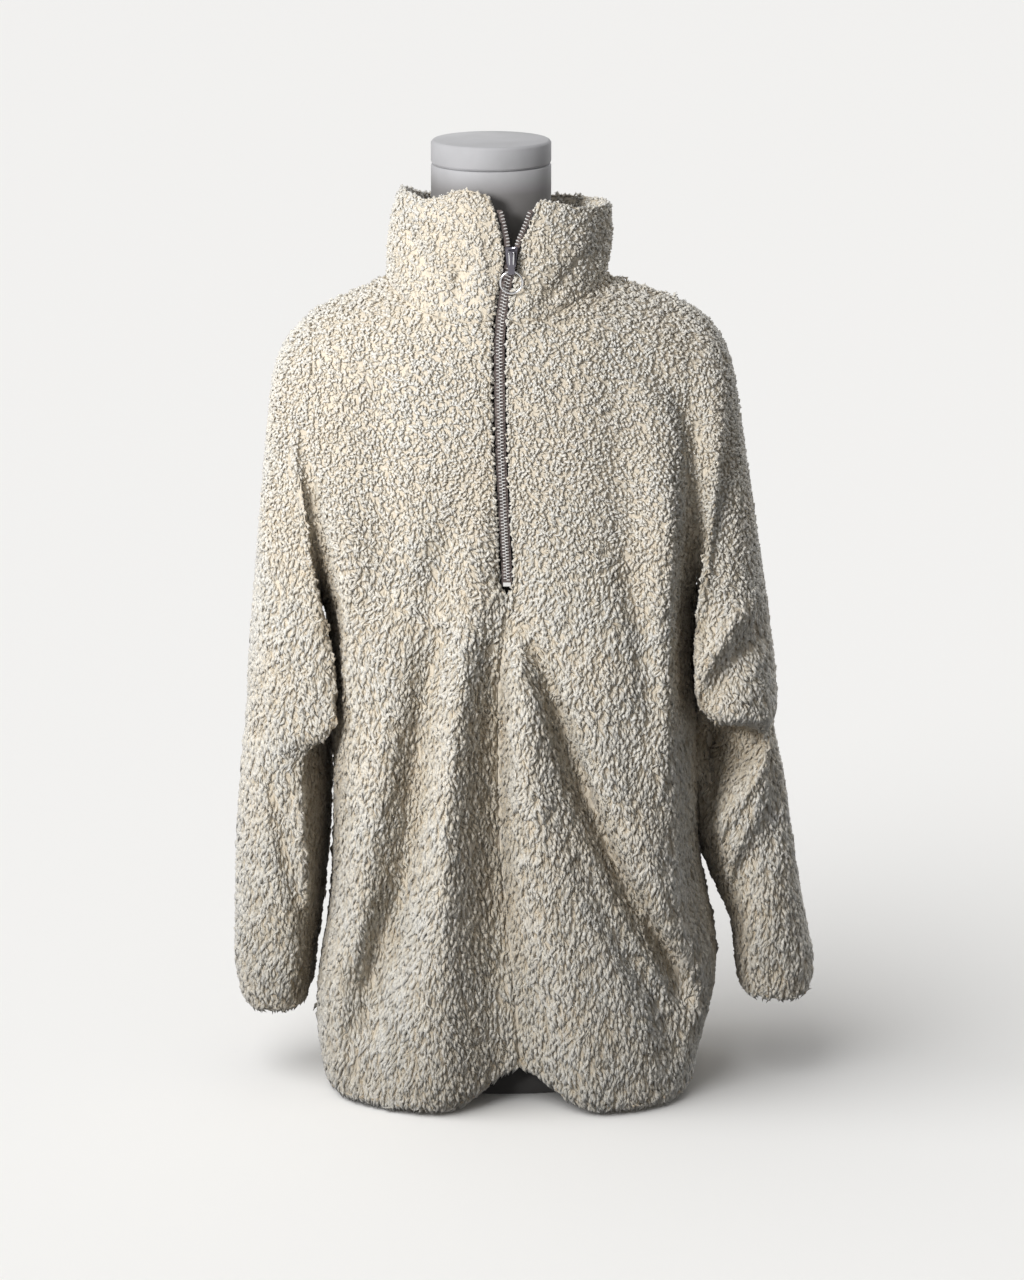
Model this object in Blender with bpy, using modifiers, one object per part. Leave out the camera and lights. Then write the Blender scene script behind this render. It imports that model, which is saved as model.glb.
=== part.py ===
"""A sherpa fleece pullover with a half zip and a stand collar, worn by a limbless dress form.

Metres, +Z up, the front faces -Y. The origin is on the form's flat base. Tables and named sizes are in
millimetres. Left and right are the wearer's, so the left side is +X.
"""

from collections import namedtuple
from math import acos, cos, pi, radians, sin

import bmesh
import bpy
import numpy as np

MM = 0.001
SEAM_GAP = 0.3  # between two pieces that are sewn together
HALF_GAP = SEAM_GAP / 2

# ---------------------------------------------------------------- the cloth's sizes
WALL = 7.0  # knit backing with its curly pile
COLLAR_WALL = 9.0  # two layers of the same fleece, turned over at the rim
HEM = 7.5  # height of the hem
HEM_NOTCH = 26.0  # how far the hem rises at the centre front seam
HEM_NOTCH_WIDTH = 42.0
UNDERARM = 458.0
ZIP_BOTTOM = 497.0
CHEST_LINE = 690.0  # above it the panels' columns lead to the neckline and the shoulder seams

NECK_COLUMNS = 12  # in a quarter of the neckline
SHOULDER_COLUMNS = 6  # along one shoulder seam
LOW_ROWS = 16  # from the hem to the underarm
STEADY_ROWS = (470.0, 482.0, 492.0, 497.0)  # level rows up to the zip's lower end
HIGH_ROWS = 12  # from the zip's lower end to the neckline
SLEEVE_SEGMENTS = 32
COLLAR_ROWS = 6
INNER_STEP = 2  # the plain inside has one row and column for each two outside
HALF_COLUMNS = NECK_COLUMNS + SHOULDER_COLUMNS

Section = namedtuple("Section", "z right left front back power")
TRUNK = (
    Section(6, -172, 176, -147, 112, 3.7),
    Section(40, -179, 183, -148, 115, 3.4),
    Section(75, -181, 193, -149, 118, 3.1),
    Section(115, -177, 199, -147, 119, 2.9),
    Section(150, -170, 196, -144, 120, 2.7),
    Section(190, -166, 186, -141, 120, 2.6),
    Section(240, -164, 180, -138, 119, 2.6),
    Section(320, -163, 178, -133, 116, 2.6),
    Section(400, -165, 177, -129, 113, 2.6),
    Section(458, -171, 178, -127, 112, 2.6),
    Section(520, -196, 194, -124, 111, 2.5),
    Section(580, -210, 207, -120, 111, 2.45),
    Section(640, -216, 212, -114, 110, 2.35),
    Section(690, -215, 207, -106, 105, 2.15),
    Section(719, -198, 195, -100, 99, 1.8),
    Section(735, -178, 175, -97, 94, 1.6),
    Section(748, -153, 151, -93, 90, 1.45),
    Section(756, -134, 129, -91, 86, 1.45),
    Section(768, -112, 92, -87, 79, 1.6),
    Section(780, -100, 80, -82, 72, 1.8),
)

# The seam that joins each sleeve lies in a plane, from the underarm to the shoulder's end.
Armhole = namedtuple("Armhole", "z x")
RIGHT_ARMHOLE = (Armhole(458, -171), Armhole(735, -178))
LEFT_ARMHOLE = (Armhole(458, 178), Armhole(748, 151))

# The centre front line: a seam below the zip, then the zip's own middle up to its slider.
Middle = namedtuple("Middle", "z x")
CENTRE_FRONT = (
    Middle(6, 14),
    Middle(130, 4),
    Middle(270, -8),
    Middle(380, -9),
    Middle(497, 0),
    Middle(545, -2),
    Middle(640, -6),
    Middle(720, -7),
    Middle(757, -3),
    Middle(794, 4),
)

# Folds in the outer surface. bow moves a fold's middle sideways, a depth below 0 is a trough, and widths are
# the fold's half width.
Fold = namedtuple("Fold", "top_x top_z low_x low_z bow top_width low_width top_depth low_depth")
FRONT_FOLDS = (
    Fold(-2, 490, 14, 0, -14, 20, 44, -11, -46),  # the seam's trough, down to the notch in the hem
    Fold(15, 479, 164, 88, -27, 15, 20, -12, -32),  # left, out to the hip
    Fold(10, 440, 70, 30, -8, 18, 32, 8, 13),
    Fold(86, 440, 140, 190, 0, 22, 20, 5, 9),
    Fold(-66, 482, -138, 66, 8, 20, 26, -12, -24),  # right, out to the hip
    Fold(-42, 440, -62, 40, -6, 22, 30, 8, 13),
    Fold(-112, 450, -154, 96, -3, 18, 16, 4, 8),
    Fold(-126, 700, -108, 500, 0, 22, 18, -6, -8),
    Fold(100, 690, 116, 500, 0, 22, 18, -6, -8),
)
BACK_FOLDS = (
    Fold(-10, 540, 4, 20, 0, 26, 28, -8, -22),
    Fold(-76, 490, -126, 40, 0, 22, 26, -10, -22),
    Fold(66, 500, 122, 70, 0, 20, 24, -9, -22),
    Fold(-44, 440, -60, 30, 0, 22, 28, 5, 10),
    Fold(38, 440, 62, 30, 0, 22, 28, 5, 10),
    Fold(-114, 700, -92, 520, 0, 22, 18, -6, -6),
    Fold(98, 700, 82, 540, 0, 22, 18, -6, -6),
)
ZIP_DIP = 3.0  # the pile lies lower beside the zip
ZIP_DIP_WIDTH = 9.0

# ---------------------------------------------------------------- the collar's sizes
Neck = namedtuple("Neck", "middle right left front back power")
NECKLINE = Neck(-10, -112, 92, -95, 80, 2.05)
NECK_MITRE_IN = 6.0  # the neck seam's slope through the wall, inward and down
NECK_MITRE_DOWN = 4.0
COLLAR_SEAM = 0.6

Rim = namedtuple("Rim", "angle x y z")  # angle 0 is the wearer's left, 90 the back
RIM = (
    Rim(-90, 29, -83, 845),
    Rim(-62, 50, -75, 842),
    Rim(-40, 74, -58, 834),
    Rim(0, 97, -4, 832),
    Rim(45, 66, 56, 830),
    Rim(90, -6, 78, 828),
    Rim(135, -76, 56, 832),
    Rim(180, -101, -4, 846),
    Rim(215, -76, -54, 842),
    Rim(244, -40, -78, 855),
    Rim(270, -15, -84, 850),
)
Lapel = namedtuple("Lapel", "z right left")  # the collar's front edges above the slider
LAPELS = (
    Lapel(794, -1.5, 9.5),
    Lapel(806, -2.5, 12),
    Lapel(820, -5, 18),
    Lapel(835, -9, 24),
    Lapel(850, -15, 29),
)
LAPEL_REACH = 4  # columns that follow the zip's edge
COLLAR_BULGE = 3.0
CollarFold = namedtuple("CollarFold", "base_angle rim_angle half_angle depth")
COLLAR_FOLDS = (
    CollarFold(232, 198, 9, -5),
    CollarFold(254, 226, 9, -4),
    CollarFold(-50, -14, 10, -4),
    CollarFold(60, 84, 12, -3),
    CollarFold(140, 112, 12, -3),
)

# ---------------------------------------------------------------- the sleeves' sizes
# Each ring runs from its outer point to its inner one. drop lowers its front, lean moves that inward, and
# behind fills its back out towards the body.
Ring = namedtuple("Ring", "outer_x outer_z inner_x inner_z front back drop lean behind power")
LEFT_SLEEVE = (
    Ring(171, 739, 179, 451, -80, 80, 0, 0, 0, 2.25),
    Ring(189, 725, 180, 444, -83, 83, 0, 2, 0, 2.25),
    Ring(202, 706, 180.5, 437, -86, 86, 0, 6, 0, 2.25),
    Ring(210, 680, 180.5, 430, -88, 88, 0, 11, 0, 2.25),
    Ring(216, 645, 180.5, 422, -90, 90, 0, 16, 2, 2.25),
    Ring(222, 600, 180.5, 413, -92, 91, -2, 22, 4, 2.3),
    Ring(230, 548, 180.5, 403, -94, 91, -4, 27, 7, 2.35),
    Ring(238, 496, 180.5, 393, -95, 90, -6, 30, 11, 2.45),
    Ring(245, 446, 180.5, 384, -96, 89, -8, 28, 16, 2.6),
    Ring(251, 402, 180.5, 376, -96, 88, -10, 22, 21, 2.7),
    Ring(255, 370, 180.5, 366, -90, 87, -10, 14, 25, 2.7),
    Ring(250, 352, 181, 354, -66, 86, -2, 6, 28, 2.4),
    Ring(251, 336, 181, 340, -56, 84, 4, 4, 28, 2.25),
    Ring(256, 314, 181.5, 316, -55, 81, 0, 4, 28, 2.25),
    Ring(263, 282, 183, 281, -57, 78, 0, 5, 28, 2.25),
    Ring(268, 246, 186, 246, -58, 75, 0, 6, 26, 2.25),
    Ring(273, 210, 193, 211, -59, 71, 0, 7, 22, 2.25),
    Ring(279, 174, 203, 176, -58, 67, 0, 7, 14, 2.25),
    Ring(285, 144, 211, 147, -57, 63, 0, 6, 8, 2.25),
    Ring(291, 117, 215, 119, -55, 59, 0, 4, 4, 2.25),
    Ring(292, 97, 217, 98, -53, 56, 0, 2, 2, 2.25),
    Ring(288, 83, 220, 85, -50, 53, 0, 0, 0, 2.25),
)
RIGHT_SLEEVE = (
    Ring(-187, 726, -173, 451, -80, 80, 0, 0, 0, 2.25),
    Ring(-200, 714, -173.5, 444, -83, 83, 0, -2, 0, 2.25),
    Ring(-210, 698, -173.5, 437, -86, 86, 0, -5, 0, 2.25),
    Ring(-217, 675, -173, 430, -88, 88, 0, -9, 0, 2.25),
    Ring(-221, 645, -172.5, 422, -90, 90, 0, -15, -2, 2.25),
    Ring(-225, 600, -171.5, 413, -92, 91, -2, -22, -4, 2.25),
    Ring(-229, 552, -170.5, 403, -94, 91, -6, -30, -7, 2.25),
    Ring(-234, 505, -169.5, 393, -95, 90, -10, -36, -11, 2.25),
    Ring(-238, 461, -168, 383, -96, 89, -16, -38, -16, 2.25),
    Ring(-242, 418, -167.5, 372, -96, 88, -24, -38, -21, 2.25),
    Ring(-244, 384, -167, 362, -92, 87, -30, -32, -25, 2.25),
    Ring(-245, 358, -166.5, 348, -83, 86, -18, -20, -28, 2.25),
    Ring(-248, 332, -166, 330, -76, 84, -4, -12, -28, 2.25),
    Ring(-251, 300, -166, 300, -71, 81, 0, -9, -28, 2.25),
    Ring(-254, 266, -166.5, 266, -67, 78, 0, -7, -28, 2.25),
    Ring(-256, 232, -168, 232, -64, 75, 0, -6, -28, 2.25),
    Ring(-257, 200, -170, 200, -62, 71, 0, -5, -28, 2.25),
    Ring(-258, 168, -174, 168, -60, 67, 0, -4, -30, 2.25),
    Ring(-259, 136, -179, 136, -58, 63, 0, -3, -30, 2.25),
    Ring(-259, 108, -184, 108, -55, 59, 0, -2, -30, 2.25),
    Ring(-256, 86, -187, 86, -52, 56, 0, -1, -30, 2.25),
    Ring(-250, 72, -190, 72, -49, 53, 0, 0, -28, 2.25),
)
SLEEVE_INNER_MARGIN = 1.0  # the inside lies this much deeper where the elbow folds
SLEEVE_INNER_LEAN = 0.3  # the inside follows only this share of the lean, as the fold there is closed
SLEEVE_INNER_STOP = 0.5  # and ends this much of the lean further back

# Folds along a sleeve. Angle 0 is the outer edge, 90 the front, and a depth below 0 is a trough.
SleeveFold = namedtuple("SleeveFold", "start_ring end_ring start_angle end_angle half_angle depth")
LEFT_SLEEVE_FOLDS = (
    SleeveFold(4, 11, 20, 126, 18, -8),  # over the elbow, down towards the body
    SleeveFold(10, 20, 126, 150, 28, -15),  # the hollow under the elbow's fold
    SleeveFold(10, 21, 40, 112, 15, 11),
    SleeveFold(9, 20, 250, 282, 20, -9),
    SleeveFold(4, 14, 300, 255, 18, -8),
)
RIGHT_SLEEVE_FOLDS = (
    SleeveFold(2, 11, 46, 66, 15, -5),
    SleeveFold(10, 20, 126, 150, 30, -15),
    SleeveFold(6, 21, 22, 112, 15, 9),
    SleeveFold(9, 20, 268, 236, 20, -9),
    SleeveFold(4, 14, 240, 285, 18, -8),
)

# ---------------------------------------------------------------- the zip's sizes
ZIP_HALF_GAP = 5.5  # from the zip's middle to the fleece on each side
TAPE_HALF = 4.7
TAPE_DEPTH = 3.6  # how far the tape lies behind the pile
TAPE_THICK = 1.0
TAPE_LOW = 497.4
TAPE_HIGH = 838.0
CHAIN_HALF = 3.0
CHAIN_THICK = 2.4
STOP_WIDTH = 7.0
STOP_HEIGHT = 3.6
SPLIT_Z = 794.0  # below it the two halves are closed
SLIDER_Z = 797.5
SLIDER_WIDTH = 11.5
SLIDER_FOOT = 8.0
SLIDER_HEIGHT = 18.0
SLIDER_PLATE = 1.8
HINGE_Y = -96.0  # the pull ring hangs from an eye at the bridge's lower end
HINGE_Z = 785.0
EYE_RADIUS = 3.2
EYE_HOLE = 1.9
BRIDGE_WIDTH = 6.0
BRIDGE_TOP = 804.0
BRIDGE_BAR = 1.6
RING_RADIUS = 9.8  # to the wire's middle
RING_WIRE = 1.1

# ---------------------------------------------------------------- the dress form's sizes
FORM_DROP = 9.5  # how far the form's shoulders lie below the cloth's outer surface
FormSection = namedtuple("FormSection", "z right left front back power")
FORM_BODY = (
    FormSection(0, -134, 122, -80, 72, 2.3),
    FormSection(14, -139, 127, -84, 76, 2.3),
    FormSection(90, -150, 138, -88, 80, 2.3),
    FormSection(170, -153, 142, -92, 84, 2.3),
    FormSection(260, -147, 134, -92, 84, 2.3),
    FormSection(350, -132, 116, -88, 82, 2.3),
    FormSection(430, -132, 114, -90, 88, 2.3),
    FormSection(510, -144, 124, -98, 93, 2.3),
    FormSection(590, -155, 134, -99, 96, 2.3),
    FormSection(650, -160, 138, -96, 95, 2.25),
)
Inset = namedtuple("Inset", "z side front back")  # shoulders follow the cloth, this much further in
FORM_SHOULDERS = (
    Inset(690, 60, 14, 14),
    Inset(712, 42, 14, 12),
    Inset(725, 22, 15, 12),
    Inset(735, 9, 16.5, 12.5),
    Inset(743, 5, 18.5, 14.5),
    Inset(750, 6, 20.5, 16.5),
)
NECK_X = -14.5
NECK_RADIUS = 55.0
FORM_NECK = (
    FormSection(761, -93, 66, -74, 70, 1.9),
    FormSection(770, -80, 51, -64, 62, 2.0),
    FormSection(782, -72.5, 43.5, -57, 57, 2.0),
    FormSection(800, -69.5, 40.5, -55, 55, 2.0),
    FormSection(868.5, -69.5, 40.5, -55, 55, 2.0),
)
FORM_SEGMENTS = 32
CAP_BOTTOM = 868.8
CAP_TOP = 891.0
CAP_EDGE = 2.5


# ---------------------------------------------------------------- curves through the tables
def track(rows, value, key="z"):
    """Return a smooth function of one table column against another, with no overshoot."""
    t = np.array([getattr(row, key) for row in rows], float)
    v = np.array([getattr(row, value) for row in rows], float)
    step = np.diff(t)
    slope = np.diff(v) / step
    tangent = np.zeros(len(t))
    tangent[0], tangent[-1] = slope[0], slope[-1]
    same_way = slope[:-1] * slope[1:] > 0
    harmonic = 2 * slope[:-1] * slope[1:] / np.where(same_way, slope[:-1] + slope[1:], 1)
    tangent[1:-1] = np.where(same_way, harmonic, 0)

    def curve(at):
        at = np.clip(np.asarray(at, float), t[0], t[-1])
        k = np.clip(np.searchsorted(t, at, "right") - 1, 0, len(t) - 2)
        s = (at - t[k]) / step[k]
        near = (1 + 2 * s) * (1 - s) ** 2 * v[k] + s * (1 - s) ** 2 * step[k] * tangent[k]
        far = s * s * (3 - 2 * s) * v[k + 1] + s * s * (s - 1) * step[k] * tangent[k + 1]
        return near + far

    return curve


trunk_right = track(TRUNK, "right")
trunk_left = track(TRUNK, "left")
trunk_front = track(TRUNK, "front")
trunk_back = track(TRUNK, "back")
trunk_power = track(TRUNK, "power")
centre_front = track(CENTRE_FRONT, "x")
armholes = {1: track(LEFT_ARMHOLE, "x"), -1: track(RIGHT_ARMHOLE, "x")}
shoulder_ends = {1: LEFT_ARMHOLE[-1].z, -1: RIGHT_ARMHOLE[-1].z}


def trunk_side(side, z):
    return trunk_left(z) if side > 0 else trunk_right(z)


def trunk_middle(front, z):
    """The centre front line, or the back's middle."""
    return centre_front(z) if front else (trunk_left(z) + trunk_right(z)) / 2


def trunk_depth(front, x, z, side):
    """How far the outer surface lies before or behind the side seam, at x and height z."""
    middle = trunk_middle(front, z)
    reach = np.clip((x - middle) / (trunk_side(side, z) - middle), 0, 1)
    power = trunk_power(z)
    face = trunk_front(z) if front else trunk_back(z)
    return face * (1 - reach**power) ** (1 / power)


def hem_height(x, front):
    notch = HEM_NOTCH * np.exp(-(((x - centre_front(HEM)) / HEM_NOTCH_WIDTH) ** 2))
    return HEM + (notch if front else 0 * x)


def fold_depth(folds, x, z):
    """The folds' height above the plain surface at x and z."""
    total = np.zeros_like(x)
    for f in folds:
        along = (f.top_z - z) / (f.top_z - f.low_z)
        s = np.clip(along, 0, 1)
        beyond = np.maximum(-along, 0) + np.maximum(along - 1, 0)
        fade = np.exp(-((beyond / 0.12) ** 2))
        width = f.top_width + (f.low_width - f.top_width) * s
        depth = f.top_depth + (f.low_depth - f.top_depth) * s
        middle = f.top_x + (f.low_x - f.top_x) * s + f.bow * 4 * s * (1 - s)
        across = (x - middle) / width
        total += depth * fade * np.exp(-(across**2))
    return total


# ---------------------------------------------------------------- the neckline
def height_on_trunk(front, x, y, side):
    """The height at which the trunk's surface passes over x and y."""
    low, high = 690.0, 780.0
    for _ in range(40):
        z = (low + high) / 2
        if abs(trunk_depth(front, x, z, side)) > abs(y):
            low = z
        else:
            high = z
    return (low + high) / 2


def neck_point(front, side, angle):
    """A point of the neckline. Angle 0 is over the shoulder, 90 at the front's or the back's middle."""
    c, s = abs(cos(radians(angle))), abs(sin(radians(angle)))
    middle = float(centre_front(CHEST_LINE + 50)) if front else NECKLINE.middle
    end = NECKLINE.left if side > 0 else NECKLINE.right
    face = NECKLINE.front if front else NECKLINE.back
    x = middle + (end - middle) * c ** (2 / NECKLINE.power)
    y = face * s ** (2 / NECKLINE.power)
    return np.array((x, y, height_on_trunk(front, x, y, side)))


def top_points(front, side):
    """The upper edge of a half panel, from its middle over the neckline and along the shoulder seam."""
    points = [neck_point(front, side, 90 - 90 * k / NECK_COLUMNS) for k in range(NECK_COLUMNS + 1)]
    start, end = points[-1][0], float(armholes[side](shoulder_ends[side]))
    for k in range(1, SHOULDER_COLUMNS + 1):
        x = start + (end - start) * k / SHOULDER_COLUMNS
        low, high = 700.0, 780.0
        for _ in range(40):
            z = (low + high) / 2
            low, high = (z, high) if abs(trunk_side(side, z)) > abs(x) else (low, z)
        points.append(np.array((x, 0.0, (low + high) / 2)))
    return points


# ---------------------------------------------------------------- the panels
def resample(points, count):
    """Return count + 1 points at equal steps along a line of points."""
    points = np.asarray(points, float)
    length = np.concatenate(([0], np.cumsum(np.linalg.norm(np.diff(points, axis=0), axis=1))))
    at = np.linspace(0, length[-1], count + 1)
    return np.stack([np.interp(at, length, points[:, k]) for k in range(3)], axis=1)


def level_row(front, side, z):
    """The panel's points at one height, at equal steps from its middle to its side seam or armhole."""
    middle, end = float(trunk_middle(front, z)), float(trunk_side(side, z))
    stop = float(armholes[side](z)) if z > UNDERARM else end
    share = min(1.0, (stop - middle) / (end - middle))
    power = float(trunk_power(z))
    last = acos(share ** (power / 2))
    turn = np.linspace(pi / 2, last, 160)
    x = middle + (end - middle) * np.clip(np.cos(turn), 0, 1) ** (2 / power)
    face = float(trunk_front(z) if front else trunk_back(z))
    y = face * np.sin(turn) ** (2 / power)
    row = resample(np.stack([x, y, np.full_like(x, z)], axis=1), HALF_COLUMNS)
    row[0] = (middle, face, z)
    return row


def half_panel(front, side):
    """The plain outer surface of half a front or back, as rows from the hem to the top."""
    tops = top_points(front, side)
    steps = np.linspace(0, 1, LOW_ROWS + 1)
    hem_row = level_row(front, side, HEM)
    starts = hem_height(hem_row[:, 0], front)
    rows = []
    for s in steps:
        heights = starts + (UNDERARM - starts) * s
        rows.append([level_row(front, side, z)[k] for k, z in enumerate(heights)])
    rows += [level_row(front, side, z) for z in STEADY_ROWS]
    levels = [level_row(front, side, z) for z in np.linspace(STEADY_ROWS[-1], CHEST_LINE, 24)]
    columns = []
    for k, top in enumerate(tops):
        start = levels[-1][k]
        middle = float(trunk_middle(front, CHEST_LINE))
        first_share = (start[0] - middle) / (float(armholes[side](CHEST_LINE)) - middle)
        top_middle = float(trunk_middle(front, top[2]))
        edge = float(armholes[side](min(top[2], shoulder_ends[side])))
        last_share = (top[0] - top_middle) / (edge - top_middle)
        path = [level[k] for level in levels]
        for s in np.linspace(0, 1, 40)[1:]:
            rise = 1 - (1 - s) ** 2
            z = CHEST_LINE + (top[2] - CHEST_LINE) * rise
            share = first_share + (last_share - first_share) * rise
            here = float(trunk_middle(front, z))
            x = here + share * (float(armholes[side](min(z, shoulder_ends[side]))) - here)
            path.append((x, float(trunk_depth(front, x, z, side)), z))
        path[-1] = top
        columns.append(resample(path, HIGH_ROWS))
    high = np.array(columns).transpose(1, 0, 2)
    return np.concatenate([np.array(rows), high[1:]])


def grid_normals(grid, outward):
    """Unit normals of a grid of points, turned to the side of outward, a function of the points."""
    along = np.gradient(grid, axis=0)
    across = np.gradient(grid, axis=1)
    normal = np.cross(along, across)
    normal /= np.linalg.norm(normal, axis=2, keepdims=True) + 1e-12
    way = np.sign((normal * outward(grid)).sum(axis=2, keepdims=True))
    return normal * np.where(way == 0, 1, way)


def zip_neck_end(point, side):
    """The neckline's point at the middle, moved beside the zip."""
    return np.array((zip_edge(side, point[2]), point[1] + ZIP_DIP, point[2]))


def from_axis(grid):
    """Directions away from the trunk's upright middle, and up at its shoulders."""
    away = grid * (1, 1, 0) - (NECKLINE.middle, 0, 0)
    return away + (0, 0, 1) * np.clip(grid[..., 2:] - 720, 0, None) * 3


def push_within(points, normals, distance, axis):
    """Move points against their normals by distance, without leaving the plane across axis."""
    flat = normals.copy()
    flat[..., axis] = 0
    flat /= np.linalg.norm(flat, axis=-1, keepdims=True) + 1e-12
    return points - flat * distance


def cloth_layers(grid, folds, front):
    """The folded outer surface and the surface WALL further in, for a grid of a panel."""
    normals = grid_normals(grid, from_axis)
    x, z = grid[..., 0], grid[..., 2]
    relief = fold_depth(folds, x, z)
    if front:
        beside = np.exp(-(((x - centre_front(z)) / ZIP_DIP_WIDTH) ** 2))
        relief -= ZIP_DIP * beside * (z > ZIP_BOTTOM - 1)
    relief *= np.abs(normals[..., 1])
    beside = np.pad(relief, ((0, 0), (1, 1)), "edge")
    calm = np.minimum(np.minimum(beside[:, :-2], beside[:, 2:]), relief)
    outer = grid + normals * relief[..., None]
    inner = grid + normals * (calm - WALL)[..., None]
    inner[0] = push_within(grid[0] + normals[0] * calm[0][:, None], normals[0], WALL, 2)
    return outer, inner, normals


def neck_mitre(point):
    """The inner end of the neck seam's face, from its outer end."""
    inward = np.array((NECKLINE.middle, 0, 0)) - point
    inward[2] = 0
    inward /= np.linalg.norm(inward)
    return point + inward * NECK_MITRE_IN - (0, 0, NECK_MITRE_DOWN)


def finish_edges(outer, inner, normals, front, side, column):
    """Put a half panel's outer column, shoulder row and neckline onto their seams."""
    sign = -1 if front else 1
    for r in range(outer.shape[0]):
        if r <= LOW_ROWS:
            inner[r, column] = push_within(outer[r, column], normals[r, column], WALL, 1)
            outer[r, column, 1] = inner[r, column, 1] = sign * HALF_GAP
            if r == LOW_ROWS:
                outer[r, column, 0] -= side * HALF_GAP
                inner[r, column, 0] -= side * HALF_GAP
            continue
        inner[r, column] = push_within(outer[r, column], normals[r, column], WALL, 0)
        for layer in (outer, inner):
            z = min(layer[r, column, 2], shoulder_ends[side])
            layer[r, column, 0] = armholes[side](z) - side * HALF_GAP
    top = outer.shape[0] - 1
    for k in range(NECK_COLUMNS, HALF_COLUMNS + 1):
        at = column - (HALF_COLUMNS - k) * (1 if column else -1)
        inner[top, at] = push_within(outer[top, at], normals[top, at], WALL, 1)
        outer[top, at, 1] = inner[top, at, 1] = sign * HALF_GAP
        outer[top, at, 2] = max(outer[top, at, 2], inner[top, at, 2] + 1)
    edge = armholes[side](shoulder_ends[side]) - side * HALF_GAP
    outer[top, column, 0] = inner[top, column, 0] = edge


def front_panel(side):
    """The outer and inner grids of one front, from the centre front to the side."""
    grid = half_panel(True, side)
    outer, inner, normals = cloth_layers(grid, FRONT_FOLDS, True)
    finish_edges(outer, inner, normals, True, side, HALF_COLUMNS)
    inner[:, 0] = push_within(outer[:, 0], normals[:, 0], WALL, 0)
    opening = np.where(outer[:, 0, 2] > ZIP_BOTTOM - 1, ZIP_HALF_GAP, HALF_GAP)
    for layer in (outer, inner):
        layer[:, 0, 0] = centre_front(layer[:, 0, 2]) + side * opening
    outer[-1, :NECK_COLUMNS] = grid[-1, :NECK_COLUMNS]
    outer[-1, 0] = zip_neck_end(grid[-1, 0], side)
    for k in range(NECK_COLUMNS + 1):
        inner[-1, k] = neck_mitre(outer[-1, k])
    inner[-1, 0, 0] = outer[-1, 0, 0]
    outer[-1, NECK_COLUMNS, 1] = inner[-1, NECK_COLUMNS, 1] = -HALF_GAP
    return outer, inner


def back_panel():
    """The outer and inner grids of the back, from the wearer's right side to the left."""
    right, left = half_panel(False, -1), half_panel(False, 1)
    grid = np.concatenate([right[:, ::-1], left[:, 1:]], axis=1)
    outer, inner, normals = cloth_layers(grid, BACK_FOLDS, False)
    finish_edges(outer, inner, normals, False, 1, 2 * HALF_COLUMNS)
    finish_edges(outer, inner, normals, False, -1, 0)
    top = outer.shape[0] - 1
    for k in range(SHOULDER_COLUMNS, 2 * HALF_COLUMNS - SHOULDER_COLUMNS + 1):
        inner[top, k] = neck_mitre(outer[top, k])
    for k in (SHOULDER_COLUMNS, 2 * HALF_COLUMNS - SHOULDER_COLUMNS):
        outer[top, k, 1] = inner[top, k, 1] = HALF_GAP
    return outer, inner


# ---------------------------------------------------------------- the collar
def zip_edge(side, z):
    """The x of the fleece's edge beside the zip."""
    if z <= SPLIT_Z:
        return float(centre_front(z)) + side * ZIP_HALF_GAP
    return float(track(LAPELS, "left" if side > 0 else "right")(z))


def collar_angles():
    """The collar's columns, from the zip's left edge round the back to its right edge."""
    quarter = np.linspace(0, 90, NECK_COLUMNS + 1)
    left = [(True, 1, 90 - a, a - 90) for a in quarter[:-1]]
    left_back = [(False, 1, a, a) for a in quarter[:-1]]
    right_back = [(False, -1, 90 - a, 90 + a) for a in quarter[:-1]]
    right = [(True, -1, a, 180 + a) for a in quarter]
    return left + left_back + right_back + right


def collar_grids():
    """The collar's outer and inner grids, as rows from the neck seam to the rim."""
    columns = collar_angles()
    turn = np.array([c[3] for c in columns])
    base = np.array([neck_point(*c[:3]) for c in columns])
    rim = np.stack([track(RIM, axis, "angle")(turn) for axis in "xyz"], axis=1)
    share = np.linspace(0, 1, COLLAR_ROWS + 1)[:, None, None]
    grid = base + (rim - base) * share
    away = grid * (1, 1, 0) - (NECKLINE.middle, 0, 0)
    away /= np.linalg.norm(away, axis=2, keepdims=True)
    relief = COLLAR_BULGE * np.sin(pi * share[..., 0]) * np.ones(len(turn))
    for f in COLLAR_FOLDS:
        centre = f.base_angle + (f.rim_angle - f.base_angle) * share[..., 0]
        bell = np.exp(-(((turn - centre) / f.half_angle) ** 2))
        relief += f.depth * bell * np.sin(pi * np.clip(share[..., 0] * 0.9 + 0.05, 0, 1))
    grid = grid + away * relief[..., None]
    for side, edge in ((1, 0), (-1, len(turn) - 1)):
        shift = np.array([zip_edge(side, z) for z in grid[:, edge, 2]]) - grid[:, edge, 0]
        for k in range(LAPEL_REACH):
            spread = np.clip(share[:, 0, 0] * 3, 0, 1) if k else 1
            grid[:, edge + side * k, 0] += shift * spread * (1 - k / LAPEL_REACH)
            grid[:, edge + side * k, 1] += ZIP_DIP * np.exp(-k * k) * spread
    grid[0, 0], grid[0, -1] = zip_neck_end(base[0], 1), zip_neck_end(base[-1], -1)
    normals = grid_normals(grid, from_axis_level)
    inner = grid - normals * COLLAR_WALL
    outer = grid.copy()
    for edge in (0, -1):
        inner[:, edge] = push_within(outer[:, edge], normals[:, edge], COLLAR_WALL, 0)
    inner[0] = [neck_mitre(point) for point in outer[0]]
    for layer in (outer, inner):
        layer[0, :, 2] += COLLAR_SEAM
    inner[:, (0, -1), 0] = outer[:, (0, -1), 0]
    inner[-1, :, 2] = outer[-1, :, 2] - 1.5
    return outer, inner


def from_axis_level(grid):
    return grid * (1, 1, 0) - (NECKLINE.middle, 0, 0)


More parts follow.
